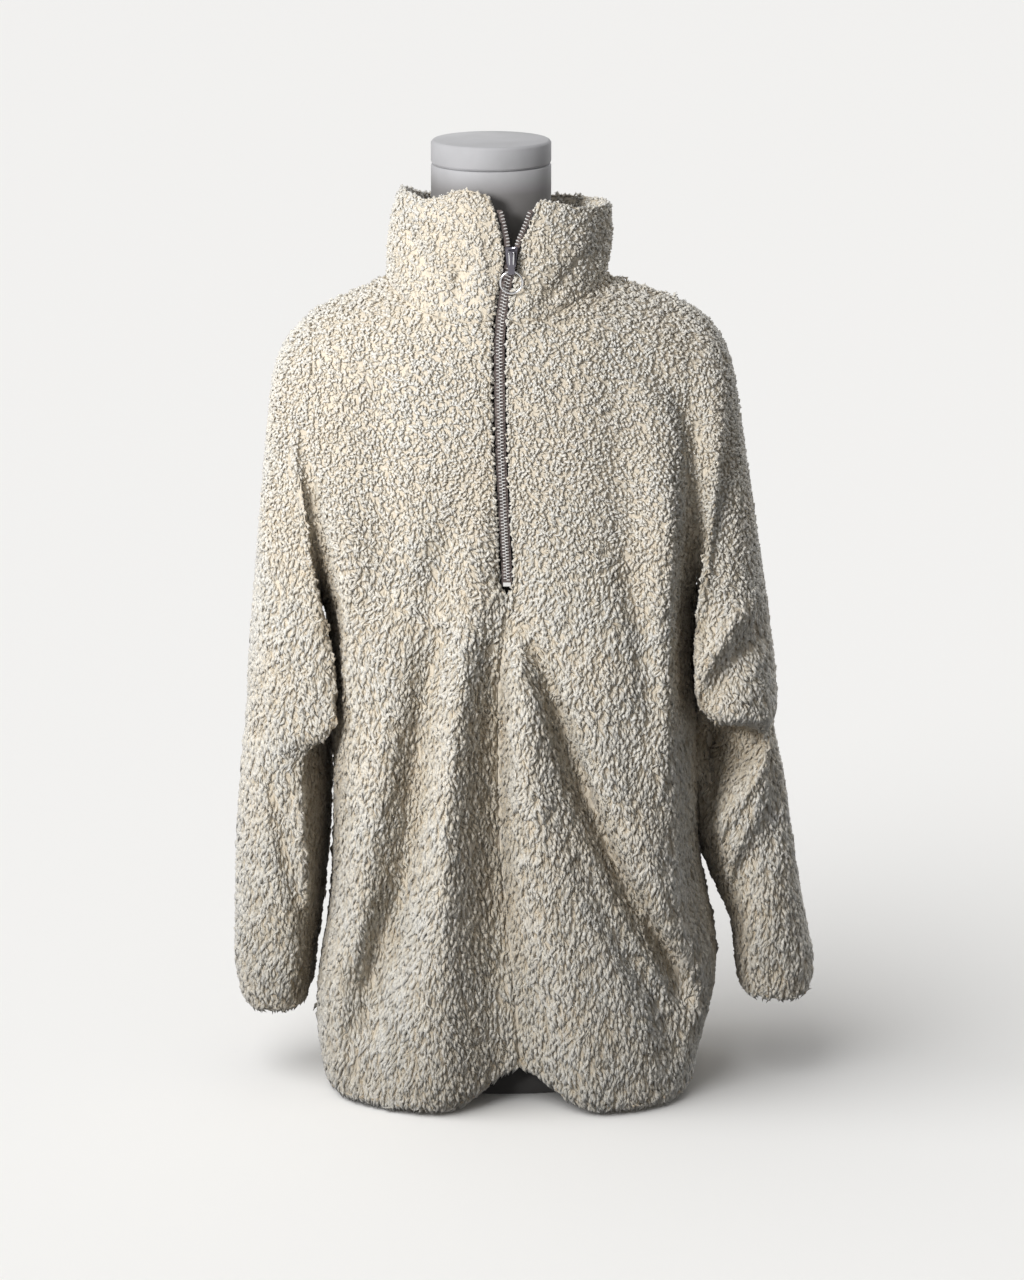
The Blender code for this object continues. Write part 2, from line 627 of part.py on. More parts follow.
# ---------------------------------------------------------------- the sleeves
def armhole_ring(side):
    """The sleeve's first ring, along the armhole, at the sleeve's segments."""
    ring = []
    low, high = UNDERARM, shoulder_ends[side]
    for k in range(SLEEVE_SEGMENTS):
        angle = 2 * pi * k / SLEEVE_SEGMENTS
        z = (low + high) / 2 + (high - low) / 2 * cos(angle)
        x = float(armholes[side](z))
        front = sin(angle) > 0
        middle = float(trunk_middle(front, z))
        reach = min(1.0, (x - middle) / (float(trunk_side(side, z)) - middle))
        power = float(trunk_power(z))
        face = float(trunk_front(z) if front else trunk_back(z))
        y = face * (1 - reach**power) ** (1 / power) if abs(sin(angle)) > 1e-6 else 0.0
        ring.append((x + side * HALF_GAP, y, z))
    return ring


def sleeve_ring(ring, front, drop):
    """One ring of a sleeve, from the row of its table, with its front at front and lowered by drop."""
    outer = np.array((ring.outer_x, 0, ring.outer_z))
    inner = np.array((ring.inner_x, 0, ring.inner_z))
    centre, arm = (outer + inner) / 2, (outer - inner) / 2
    points = []
    for k in range(SLEEVE_SEGMENTS):
        angle = 2 * pi * k / SLEEVE_SEGMENTS
        c, s = cos(angle), sin(angle)
        depth = front if s > 0 else ring.back
        point = centre + arm * np.sign(c) * abs(c) ** (2 / ring.power)
        point[1] = depth * abs(s) ** (2 / ring.power)
        point[0] -= (ring.lean if s > 0 else ring.behind * (1 - c) / 2) * s**2
        point[2] += drop * max(0.0, s)
        points.append(point)
    return points


def sleeve_grids(side, rings, folds):
    """A sleeve's outer and inner grids, as rings from the armhole to the cuff."""
    first = armhole_ring(side)
    outer = np.array([first] + [sleeve_ring(r, r.front, r.drop) for r in rings])
    calm = [max(rings[max(0, k - 1)].front, r.front, rings[min(len(rings) - 1, k + 1)].front)
            for k, r in enumerate(rings)]
    inner = [first]
    for r, front in zip(rings, calm):
        plain = r._replace(lean=r.lean * SLEEVE_INNER_LEAN)
        inner.append(sleeve_ring(plain, front + SLEEVE_INNER_MARGIN + SLEEVE_INNER_STOP * abs(r.lean), 0))
    inner = np.array(inner)
    angles = np.arange(SLEEVE_SEGMENTS) * 360 / SLEEVE_SEGMENTS
    relief = np.zeros(outer.shape[:2])
    for f in folds:
        for k in range(f.start_ring, f.end_ring + 1):
            s = (k - f.start_ring) / (f.end_ring - f.start_ring)
            centre = f.start_angle + (f.end_angle - f.start_angle) * s
            away = (angles - centre + 180) % 360 - 180
            strength = abs(sin(pi * s**0.5)) ** 0.7  # folds begin steeply and run out slowly
            relief[k] += f.depth * strength * np.exp(-((away / f.half_angle) ** 2))
    outer_normals = ring_normals(outer)
    inner_normals = ring_normals(inner)
    outer = outer + outer_normals * relief[..., None]
    inner = inner + inner_normals * (relief[..., None] - WALL)
    mouth = push_within(np.array(first), outer_normals[0], WALL, 0)
    for k, point in enumerate(mouth):
        mouth[k, 0] = armholes[side](np.clip(point[2], UNDERARM, shoulder_ends[side])) + side * HALF_GAP
    inner[0] = mouth
    inner[-1] = push_within(outer[-1], outer_normals[-1], WALL, 2)
    return outer, inner


def ring_normals(rings):
    """Outward normals of a tube of closed rings."""
    padded = np.concatenate([rings[:, -1:], rings, rings[:, :1]], axis=1)
    across = (padded[:, 2:] - padded[:, :-2]) / 2
    along = np.gradient(rings, axis=0)
    normal = np.cross(along, across)
    normal /= np.linalg.norm(normal, axis=2, keepdims=True) + 1e-12
    outward = rings - rings.mean(axis=1, keepdims=True)
    way = np.sign((normal * outward).sum(axis=2, keepdims=True))
    return normal * np.where(way == 0, 1, way)


# ---------------------------------------------------------------- closed solids from grids
def bridge(fine, coarse):
    """Faces between two lines of vertices. The first has a whole number of steps for each of the second."""
    ratio = (len(fine) - 1) // (len(coarse) - 1)
    faces = []
    for k in range(len(coarse) - 1):
        part = fine[k * ratio:(k + 1) * ratio + 1]
        if ratio == 1:
            faces.append((coarse[k], part[0], part[1], coarse[k + 1]))
            continue
        half = ratio // 2
        faces += [(coarse[k], part[i], part[i + 1]) for i in range(half)]
        faces.append((coarse[k], part[half], coarse[k + 1]))
        faces += [(coarse[k + 1], part[i], part[i + 1]) for i in range(half, ratio)]
    return faces


def straighter(grid, closed):
    """For each cell of a grid, whether the surface runs straighter along its first diagonal."""
    wide = np.pad(grid, ((1, 1), (0, 0), (0, 0)), "edge")
    wide = np.pad(wide, ((0, 0), (1, 1 + closed), (0, 0)), "wrap" if closed else "edge")
    first = wide[:-3, :-3] - wide[1:-2, 1:-2] - wide[2:-1, 2:-1] + wide[3:, 3:]
    second = wide[:-3, 3:] - wide[1:-2, 2:-1] - wide[2:-1, 1:-2] + wide[3:, :-3]
    return np.linalg.norm(first, axis=2) <= np.linalg.norm(second, axis=2)


def shell_solid(name, outer, inner, material, rounded=(), closed=False, round_by=0.35):
    """A closed wall between an outer grid and a coarser inner one.

    rounded names the free edges, bottom, top, start and end, that get a rounded face.
    closed joins the last column to the first.
    """
    inner = inner[::INNER_STEP, ::INNER_STEP]
    vertices, faces = [], []

    def add(points):
        start = len(vertices)
        vertices.extend(np.asarray(points).reshape(-1, 3))
        return list(range(start, len(vertices)))

    def skin(grid):
        rows, columns = grid.shape[:2]
        index = np.array(add(grid)).reshape(rows, columns)
        if closed:
            index = np.concatenate([index, index[:, :1]], axis=1)
        first = straighter(grid, closed)
        for r in range(rows - 1):
            for c in range(index.shape[1] - 1):
                a, b, d, e = index[r, c], index[r, c + 1], index[r + 1, c + 1], index[r + 1, c]
                faces.extend([(a, b, d), (a, d, e)] if first[r, c] else [(a, b, e), (b, d, e)])
        return index

    def wrap(line):
        return list(line) + [line[0]] if closed else list(line)

    out, ins = skin(outer), skin(inner)
    edges = {"bottom": (out[0], ins[0], -1, 0), "top": (out[-1], ins[-1], -1, 0)}
    if not closed:
        edges["start"] = (out[:, 0], ins[:, 0], 0, -1)
        edges["end"] = (out[:, -1], ins[:, -1], 0, -1)
    position = np.array(vertices)
    for edge, (far, near, _, _) in edges.items():
        if edge not in rounded:
            faces.extend(bridge(list(far), list(near)))
            continue
        line = list(far[:-1]) if closed else list(far)
        close = list(near[:-1]) if closed else list(near)
        at = np.arange(len(line)) / INNER_STEP
        wide = close + [close[0]] if closed else close
        after = [wide[min(int(a) + 1, len(wide) - 1)] for a in at]
        facing = np.array([position[wide[int(a)]] * (1 - a % 1) + position[b] * (a % 1)
                           for a, b in zip(at, after)])
        rim = position[line]
        back_row = {"bottom": out[1], "top": out[-2], "start": out[:, 1] if not closed else None,
                    "end": out[:, -2] if not closed else None}[edge]
        outward = rim - position[list(back_row)[:len(line)]]
        outward /= np.linalg.norm(outward, axis=1, keepdims=True)
        gap = np.linalg.norm(rim - facing, axis=1, keepdims=True)
        crest = add((rim + facing) / 2 + outward * gap * round_by)
        faces.extend(bridge(wrap(line), wrap(crest)))
        faces.extend(bridge(wrap(crest), wrap(close)))
        if not closed:
            faces.append((line[0], crest[0], close[0]))
            faces.append((line[-1], crest[-1], close[-1]))
    return mesh_object(name, np.array(vertices), faces, material)


def mesh_object(name, vertices, faces, material):
    """A smooth object from points in millimetres, with its faces turned outward."""
    mesh = bpy.data.meshes.new(name)
    mesh.from_pydata([tuple(float(v) * MM for v in point) for point in vertices], [],
                     [tuple(int(i) for i in face) for face in faces])
    work = bmesh.new()
    work.from_mesh(mesh)
    bmesh.ops.recalc_face_normals(work, faces=work.faces)
    work.to_mesh(mesh)
    work.free()
    mesh.materials.append(material)
    mesh.shade_smooth()
    mesh.set_sharp_from_angle(angle=radians(50))
    result = bpy.data.objects.new(name, mesh)
    pullover.objects.link(result)
    return result


def loft(name, sections, material, segments=FORM_SEGMENTS):
    """A closed solid through level sections, each a row with z, right, left, front, back and power."""
    rows = []
    for row in sections:
        middle = (row.right + row.left) / 2
        half = (row.left - row.right) / 2
        ring = []
        for k in range(segments):
            c, s = cos(2 * pi * k / segments), sin(2 * pi * k / segments)
            depth = row.back if s > 0 else -row.front
            ring.append((middle + half * np.sign(c) * abs(c) ** (2 / row.power),
                         depth * np.sign(s) * abs(s) ** (2 / row.power), row.z))
        rows.append(ring)
    points = np.array(rows)
    count = len(rows)
    index = np.arange(count * segments).reshape(count, segments)
    index = np.concatenate([index, index[:, :1]], axis=1)
    faces = [(index[r, c], index[r, c + 1], index[r + 1, c + 1], index[r + 1, c])
             for r in range(count - 1) for c in range(segments)]
    faces.append(tuple(index[0, :-1]))
    faces.append(tuple(index[-1, :-1]))
    return mesh_object(name, points.reshape(-1, 3), faces, material)


# ---------------------------------------------------------------- the zip
def strip(name, heights, near, far, front, thick, material):
    """A flat strip up the zip between the x given by near and far, with its face at the y given by front."""
    rings = []
    for z in heights:
        a, b, y = near(z), far(z), front(z)
        rings.append([(a, y, z), (b, y, z), (b, y + thick, z), (a, y + thick, z)])
    points = np.array(rings, float)
    count = len(rings)
    index = np.arange(count * 4).reshape(count, 4)
    faces = [(index[r, c], index[r, (c + 1) % 4], index[r + 1, (c + 1) % 4], index[r + 1, c])
             for r in range(count - 1) for c in range(4)]
    faces += [tuple(index[0]), tuple(index[-1])]
    return mesh_object(name, points.reshape(-1, 3), faces, material)


def build_zip(edges):
    """The tape and the closed teeth in the opening, where edges holds the fleece's edge of each side."""

    def tape_front(z):
        return np.mean([np.interp(z, line[:, 2], line[:, 1]) for line in edges]) + TAPE_DEPTH

    def chain_front(z):
        return tape_front(z) - SEAM_GAP - CHAIN_THICK

    stop_top = TAPE_LOW + STOP_HEIGHT
    for side, word in ((1, "left"), (-1, "right")):

        def beside(distance):
            return lambda z: zip_edge(side, z) - side * (ZIP_HALF_GAP - distance)

        for piece, low, half, front, thick, material in (
            ("tape", TAPE_LOW, TAPE_HALF, tape_front, TAPE_THICK, tape_cloth),
            ("teeth", stop_top + SEAM_GAP, CHAIN_HALF, chain_front, CHAIN_THICK, steel),
        ):
            rows = edges[0 if side > 0 else 1][:, 2]
            heights = [low, *rows[(rows > low + 1) & (rows < TAPE_HIGH - 1)], TAPE_HIGH]
            strip(f"zip_{piece}_{word}", heights, beside(HALF_GAP), beside(half), front, thick, material)
    start, end = (float(centre_front(TAPE_LOW)) + side * STOP_WIDTH / 2 for side in (-1, 1))
    strip("zip_stop", (TAPE_LOW, stop_top), lambda z: start, lambda z: end, lambda z: chain_front(z) - 0.4,
          CHAIN_THICK, steel)
    build_slider(chain_front(SLIDER_Z - SLIDER_HEIGHT / 2) - SEAM_GAP)


def block(low, high):
    """A box between two corners in millimetres, outside the pullover's collection."""
    bpy.ops.mesh.primitive_cube_add(size=1)
    box = bpy.context.object
    corners = np.array((low, high), float)
    for vertex in box.data.vertices:
        part_way = np.array(vertex.co) + 0.5
        vertex.co = (corners[0] + (corners[1] - corners[0]) * part_way) * MM
    return box


def rod(radius, x, y, z, length, segments):
    """A cylinder along X."""
    bpy.ops.mesh.primitive_cylinder_add(vertices=segments, radius=radius * MM, depth=length * MM,
                                        location=(x * MM, y * MM, z * MM), rotation=(0, pi / 2, 0))
    return bpy.context.object


def combine(target, other, operation):
    """Union or difference with another object, which is then removed."""
    modifier = target.modifiers.new(operation.lower(), "BOOLEAN")
    modifier.object = other
    modifier.operation = operation
    bpy.context.view_layer.objects.active = target
    bpy.ops.object.modifier_apply(modifier=modifier.name)
    bpy.data.objects.remove(other)


def build_slider(back):
    """The slider in front of the teeth, its bridge with an eye, and the pull ring through the eye."""
    x = float(centre_front(SPLIT_Z))
    low, high = SLIDER_Z - SLIDER_HEIGHT / 2, SLIDER_Z + SLIDER_HEIGHT / 2
    plate_front = back - SLIDER_PLATE
    slider = block((x - SLIDER_WIDTH / 2, plate_front, low), (x + SLIDER_WIDTH / 2, back, high))
    slider.name = "zip_slider"
    for vertex in slider.data.vertices:
        if vertex.co.z < SLIDER_Z * MM:
            vertex.co.x = (x + (vertex.co.x / MM - x) * SLIDER_FOOT / SLIDER_WIDTH) * MM
    left, right = x - BRIDGE_WIDTH / 2, x + BRIDGE_WIDTH / 2
    face = HINGE_Y - EYE_RADIUS
    combine(slider, block((left, face, HINGE_Z), (right, back - 0.5, BRIDGE_TOP)), "UNION")
    combine(slider, rod(EYE_RADIUS, x, HINGE_Y, HINGE_Z, BRIDGE_WIDTH, 20), "UNION")
    slot_low = HINGE_Z + EYE_RADIUS + 0.6
    slot_high = BRIDGE_TOP - BRIDGE_BAR
    slot = block((left - 1, face + BRIDGE_BAR, slot_low), (right + 1, plate_front, slot_high))
    combine(slider, slot, "DIFFERENCE")
    combine(slider, rod(EYE_HOLE, x, HINGE_Y, HINGE_Z, BRIDGE_WIDTH + 2, 20), "DIFFERENCE")
    adopt(slider, steel)
    bpy.ops.mesh.primitive_torus_add(major_radius=RING_RADIUS * MM, minor_radius=RING_WIRE * MM,
                                     major_segments=28, minor_segments=6, rotation=(pi / 2, 0, 0))
    ring = bpy.context.object
    ring.name = "pull_ring"
    ring.data.transform(ring.matrix_basis)
    ring.matrix_basis.identity()
    for vertex in ring.data.vertices:
        vertex.co.z -= RING_RADIUS * MM
    ring.location = (x * MM, HINGE_Y * MM, HINGE_Z * MM)
    adopt(ring, steel)


# ---------------------------------------------------------------- the dress form
def build_form():
    sections = list(FORM_BODY)
    for row in FORM_SHOULDERS:
        z = row.z + FORM_DROP
        sections.append(FormSection(
            row.z, float(trunk_right(z)) + row.side, float(trunk_left(z)) - row.side,
            float(trunk_front(z)) + row.front, float(trunk_back(z)) - row.back, float(trunk_power(z))))
    sections += FORM_NECK
    loft("form_torso", sections, form_cloth)
    middle = (NECK_X * MM, 0, (CAP_TOP + CAP_BOTTOM) / 2 * MM)
    bpy.ops.mesh.primitive_cylinder_add(vertices=32, radius=NECK_RADIUS * MM,
                                        depth=(CAP_TOP - CAP_BOTTOM) * MM, location=middle)
    cap = bpy.context.object
    cap.name = "form_neck_cap"
    adopt(cap, form_cloth)
    bevel = cap.modifiers.new("edge", "BEVEL")
    bevel.width = CAP_EDGE * MM
    bevel.segments = 2
    bevel.limit_method = "ANGLE"


# ---------------------------------------------------------------- scene objects
def adopt(piece, material):
    """Give a primitive its material and move it to the pullover's collection."""
    piece.data.materials.append(material)
    for owner in list(piece.users_collection):
        owner.objects.unlink(piece)
    pullover.objects.link(piece)


def principled(name, colour, roughness, metallic=0.0):
    material = bpy.data.materials.new(name)
    material.use_nodes = True
    shader = material.node_tree.nodes["Principled BSDF"]
    shader.inputs["Base Color"].default_value = (*colour, 1)
    shader.inputs["Roughness"].default_value = roughness
    shader.inputs["Metallic"].default_value = metallic
    return material


for old in list(bpy.data.objects):
    bpy.data.objects.remove(old)
pullover = bpy.data.collections.new("sherpa_pullover")
bpy.context.scene.collection.children.link(pullover)
fleece = principled("fleece", (0.72, 0.64, 0.52), 0.95)
tape_cloth = principled("zip_tape", (0.10, 0.09, 0.09), 0.8)
steel = principled("steel", (0.62, 0.61, 0.60), 0.3, 1.0)
form_cloth = principled("form_cloth", (0.62, 0.60, 0.57), 0.85)

left_front, right_front, collar = front_panel(1), front_panel(-1), collar_grids()
shell_solid("front_left", *left_front, fleece, rounded=("bottom",))
shell_solid("front_right", *right_front, fleece, rounded=("bottom",))
shell_solid("back", *back_panel(), fleece, rounded=("bottom",))
shell_solid("collar", *collar, fleece, rounded=("top",), round_by=0.5)
for name, side, rings, folds in (("sleeve_left", 1, LEFT_SLEEVE, LEFT_SLEEVE_FOLDS),
                                 ("sleeve_right", -1, RIGHT_SLEEVE, RIGHT_SLEEVE_FOLDS)):
    shell_solid(name, *sleeve_grids(side, rings, folds), fleece, rounded=("top",), closed=True)
build_zip([np.concatenate([left_front[0][:-1, 0], collar[0][:, 0]]),
           np.concatenate([right_front[0][:-1, 0], collar[0][:, -1]])])
build_form()
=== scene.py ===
"""The looks of a sherpa fleece pullover on its dress form: curly pile, metal half zip, plain studio.

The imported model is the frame, so places are read from its nodes. Named sizes are in millimetres, and left
and right are the wearer's, so the left side is +X. The front faces -Y.
"""

from collections import namedtuple
from itertools import product
from math import cos, pi, radians, sin

import bmesh
import bpy
import numpy as np
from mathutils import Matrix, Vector, noise
from mathutils.bvhtree import BVHTree
from mathutils.kdtree import KDTree


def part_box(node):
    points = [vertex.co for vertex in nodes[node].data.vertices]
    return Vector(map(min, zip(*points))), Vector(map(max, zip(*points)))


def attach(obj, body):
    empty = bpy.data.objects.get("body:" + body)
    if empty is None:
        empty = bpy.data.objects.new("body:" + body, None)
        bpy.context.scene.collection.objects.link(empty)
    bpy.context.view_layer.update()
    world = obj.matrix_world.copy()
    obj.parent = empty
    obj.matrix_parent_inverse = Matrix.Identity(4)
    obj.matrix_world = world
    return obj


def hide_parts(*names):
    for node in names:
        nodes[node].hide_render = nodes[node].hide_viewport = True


MM = 0.001
BODY = "pullover_on_form"
PULL_BODY = "pull"

# ---------------------------------------------------------------- the fleece's sizes
PILE = 3.8  # from the knit backing to the pile's face
COLLAR_PILE = 0.8  # the collar has it on both sides, this share as deep
ROOT_SUNK = 0.7  # a lock starts this far inside the backing
WELD = 0.02  # corners this near are one
SEAM_REACH = 1.5  # a face with another panel this near is the side of a seam
SEAM_FACING = 0.8  # and the two look this much the same way or opposite ways
FACING = 0.25  # how far a face must look in or out for its side to be plain
SAME_SIDE = 0.9  # faces that look this much the same way are on the same side
SORT_PASSES = 12
SMOOTH_PASSES = 10

# The pile changes with height: small tight curls on the chest, long combed locks near the hem. swirl is how
# far locks turn from straight down, curl how far they wave, and curls the share of small curls.
Pile = namedtuple("Pile", "z length width spacing swirl curl curls")
PILE_BY_HEIGHT = (
    Pile(0, 13.5, 3.6, 2.97, 0.22, 0.10, 0.0),
    Pile(250, 13.0, 3.6, 2.97, 0.28, 0.11, 0.0),
    Pile(440, 10.5, 3.6, 2.86, 0.5, 0.16, 0.1),
    Pile(600, 6.4, 3.1, 2.3, 1.0, 0.26, 1.0),
    Pile(860, 6.0, 3.0, 2.28, 1.0, 0.26, 1.0),
)
# Each lock has stations along it, with their share of its length, share of its width (0 for a point), and
# height of the lock's middle above the pile's face, in pile depths.
Station = namedtuple("Station", "share width height")
LONG_LOCK = (Station(0.0, 0.8, -0.95), Station(0.48, 1.0, -0.3), Station(1.0, 0.0, -0.36))
SMALL_CURL = (Station(0.0, 0.0, -0.9), Station(0.55, 1.0, -0.25), Station(1.0, 0.0, -0.4))
LOCK_RIDGE = 0.42  # height of the ring's upper point, in widths
LOCK_BELLY = 0.28  # and depth of its two lower ones
LOCK_ANCHOR = 0.35  # the share of a lock that lies behind its place
LOCK_HALF_WAVES = 2.4
LOCK_ROLL = 0.5  # radians, at most
LOCK_ROUGH = 0.25  # scatter of its height
LOCK_SCATTER = 0.22  # and of its direction, more where the pile swirls
LENGTHS, WIDTHS, CURLS = (0.75, 1.2), (0.8, 1.2), (0.4, 1.6)  # least and most, as shares of the usual
SCATTER_TRIES = 3.2  # places tried for each that there is room for
STRAY_SHARE = 0.1  # locks that stand up from the rest
STRAY_LIFT = 1.5
CLUMP_WIDE = 5.5  # locks gather in clumps of this width
CLUMP_TALL = 15.0  # and this length near the hem
CLUMP_HEIGHTS = (480, 640)  # where the long ones end and the round ones begin
CLUMP_BEND, CLUMP_BEND_SIZE = 2.0, 22.1  # how far clumps are bent, and over what distance
CLUMP_STEP = 0.6
CLUMP_CONTRAST = 2.0
CLUMP_STEEP = 1.5  # a steeper clump pulls no more
CLUMP_PULL = 1.7  # how far a tip is drawn to the middle of its clump
CLUMP_TOP = 0.35  # locks higher up their clump than this stand level
CLUMP_SINK = 1.6  # depth of the partings
CLOTH_SHADING = 0.2  # how far the locks' shading follows the cloth under them
HOLLOW_REACH = 75.0  # cloth this near shades a lock
HOLLOW_PLACES = 9000  # where the shade is measured
HOLLOW_NEAR = 5  # and how many of them each lock's shade comes from
HOLLOW_RAYS = 28
HOLLOW_SPREAD = 0.9  # the share of the half sphere that the rays fill
HOLLOW_START = 1.5
FLOOR_CLEAR = 0.4
ZIP_COMB = 11.0  # locks this near the zip's middle lie along it
ZIP_BEHIND = 20.0  # unless they are this far behind it
ZIP_CALM = (0.25, 0.25, 1)  # what is left of their direction
ZIP_LEAN = 0.5  # and they lean over its tape
ZIP_SHORT = 0.85
ZIP_CLEAR = 3.1  # and none reaches nearer to it than this
WIDE_SWIRL = 45.0  # sizes of the swirls in the pile's direction
SMALL_SWIRL = 13.0
SMALL_SWIRL_SHARE = 1.1  # how strong the small ones are beside the wide ones
SWIRL_FLOOR = 0.6  # and how much locks scatter where there are none

# Creases finer than the frame's folds. Each runs smoothly through rows of height, x and depth, where a depth
# below 0 is a trough. low and high are its half widths towards -X and +X.
Crease = namedtuple("Crease", "low high path")
BODY_FRONT = (
    # the valleys between the front and the arms, and the front's edges beside them
    Crease(20, 6, ((340, -164, 0), (400, -160, -8), (480, -161, -9), (575, -178, -12), (650, -192, -10),
                   (700, -203, 0))),
    Crease(7, 24, ((335, 170, 0), (400, 165, -12), (480, 163, -12), (580, 168, -14), (650, 161, -12),
                   (705, 130, 0))),
    Crease(11, 20, ((250, -152, 0), (400, -144, 9), (500, -147, 13), (640, -166, 0))),
    Crease(28, 11, ((130, 165, 0), (220, 158, 12), (330, 150, 18), (430, 146, 18), (570, 148, 16),
                    (650, 138, 0))),
    # the centre seam's valley and the ridges beside it
    Crease(26, 7, ((65, 5, 0), (160, -3, -10), (300, -7, -16), (420, -5, -15), (488, 1, 0))),
    Crease(10, 22, ((60, 40, 0), (150, 26, 9), (260, 14, 13), (400, 9, 9), (475, 7, 0))),
    Crease(26, 17, ((70, -55, 0), (170, -60, 8), (310, -58, 12), (430, -43, 9), (505, -25, 0))),
    # left, from the zip's foot out to the hip
    Crease(10, 8, ((75, 176, 0), (115, 162, -18), (190, 121, -21), (300, 73, -23), (400, 40, -17),
                   (485, 14, 0))),
    Crease(20, 22, ((100, 184, 0), (150, 168, 6), (250, 120, 10), (370, 78, 9), (455, 48, 0))),
    Crease(7, 10, ((70, 171, 0), (95, 162, -10), (135, 149, -12), (215, 123, 0))),
    Crease(12, 14, ((325, 138, 0), (400, 130, -10), (460, 122, -11), (560, 104, 0))),
    Crease(27, 10, ((95, 142, 0), (180, 104, 13), (290, 55, 16), (390, 26, 12), (470, 8, 0))),
    # right, from the zip's foot out to the hip
    Crease(15, 22, ((85, -128, 0), (140, -110, -14), (260, -88, -20), (340, -80, -20), (420, -67, -14),
                    (505, -44, 0))),
    Crease(10, 14, ((45, -128, 0), (90, -129, -17), (150, -124, -18), (220, -108, 0))),
    Crease(14, 14, ((95, -153, 0), (170, -140, 7), (270, -124, 10), (455, -101, 0))),
    Crease(8, 10, ((40, -145, 0), (70, -144, -8), (110, -144, -7), (150, -146, 0))),
    # over the chest
    Crease(12, 12, ((665, 153, 0), (695, 130, -6), (730, 95, 0))),
    Crease(14, 14, ((450, -70, 0), (520, -60, -6), (610, -33, 0))),
)
BODY_BACK = (
    Crease(24, 12, ((330, -160, 0), (400, -157, -16), (480, -160, -22), (570, -171, -20), (690, -196, 0))),
    Crease(12, 24, ((330, 166, 0), (400, 160, -16), (480, 158, -22), (570, 164, -20), (695, 146, 0))),
    Crease(14, 22, ((60, 60, 0), (170, 46, 9), (350, 28, 10), (460, 18, 0))),
    Crease(24, 16, ((50, -74, 0), (180, -64, 8), (360, -46, 10), (480, -30, 0))),
    Crease(10, 18, ((80, 150, 0), (140, 128, -12), (250, 94, -15), (370, 64, -11), (470, 44, 0))),
    Crease(18, 12, ((70, -140, 0), (130, -126, -10), (280, -99, -13), (390, -84, -9), (480, -68, 0))),
    Crease(14, 14, ((640, -30, 0), (690, -52, -5), (725, -74, 0))),
    Crease(14, 14, ((560, 40, 0), (620, 60, -5), (700, 88, 0))),
)
SLEEVE_FRONT = (
    # left: the fold over the elbow, the hollow under it and the ridge down the forearm
    Crease(12, 8, ((372, 172, 0), (400, 177, 11), (427, 186, 15), (453, 205, 14), (478, 230, 6),
                   (500, 246, 0))),
    Crease(8, 17, ((382, 192, 0), (412, 203, -11), (438, 222, -13), (465, 247, 0))),
    Crease(28, 27, ((354, 206, 0), (368, 206, 8), (385, 206, 5), (410, 206, 0))),
    Crease(30, 30, ((235, 200, 0), (285, 205, -29), (336, 210, -48), (364, 212, 0))),
    Crease(8, 7, ((185, 172, 0), (225, 188, 12), (280, 218, 16), (335, 249, 8), (362, 263, 0))),
    Crease(9, 24, ((115, 205, 0), (165, 213, -14), (215, 224, -18), (270, 246, -12), (310, 262, 0))),
    # right: the same, less deep
    Crease(9, 9, ((120, -170, 0), (180, -179, 8), (260, -191, 10), (345, -199, 0))),
    Crease(8, 7, ((95, -174, 0), (160, -190, -8), (240, -210, -10), (330, -223, -8), (480, -232, 0))),
    Crease(16, 18, ((110, -184, 0), (180, -180, 16), (260, -177, 22), (338, -177, 0))),
)
SLEEVE_BACK = (
    Crease(9, 12, ((150, 250, 0), (220, 232, -10), (290, 216, -11), (350, 204, 0))),
    Crease(12, 9, ((380, 236, 0), (430, 214, -9), (520, 186, 0))),
    Crease(10, 12, ((140, -232, 0), (210, -218, -10), (280, -206, -10), (340, -196, 0))),
    Crease(12, 10, ((370, -228, 0), (430, -208, -9), (520, -180, 0))),
)
COLLAR_FRONT = (
    Crease(6, 6, ((752, -58, 0), (781, -71, -8), (805, -87, -9), (842, -104, 0))),
    Crease(8, 7, ((745, -36, 0), (766, -43, -6), (786, -42, -8), (811, -60, -6), (830, -72, 0))),
    Crease(8, 8, ((740, 34, 0), (765, 45, -5), (785, 60, -4), (802, 76, 0))),
    Crease(8, 8, ((738, -15, 0), (765, -19, 2), (805, -26, 4), (845, -31, 0))),
    Crease(8, 8, ((752, -56, 0), (780, -70, 3), (817, -86, 3), (848, -93, 0))),
)
COLLAR_BACK = (
    Crease(8, 10, ((745, -60, 0), (780, -48, -5), (815, -30, 0))),
    Crease(10, 8, ((745, 66, 0), (780, 52, -5), (812, 36, 0))),
)
CREASE_START = 12.0  # a crease begins this far in front of the middle plane or behind it
CREASE_FULL = 28.0  # and is whole after this much more
WALL = 7.0  # how much sooner it begins on the inside
INNER_REACH = 9.0  # the inside follows the lowest of a trough within this distance, so that it stays behind

# A line down the middle of each hollow tells a wall's inside from its outside.
SLEEVE_MIDDLES = {
    "sleeve_left": ((150, 0, 610), (196, 0, 560), (214, -6, 420), (222, 8, 320), (238, 4, 200), (254, 0, 60)),
    "sleeve_right": ((-160, 0, 600), (-198, 0, 560), (-205, -6, 420), (-208, 8, 320), (-214, 4, 200),
                     (-222, 0, 50)),
}
# How far the inner side of the left sleeve swells towards the body, at each height.
SLEEVE_SWELL = ((140, 0), (190, 8), (240, 13), (300, 13), (350, 9), (400, 0))
TRUNK_MIDDLE = -8.0
SHOULDER_Z = 720.0
SHOULDER_TURN = 3  # above it, outward turns upward this fast

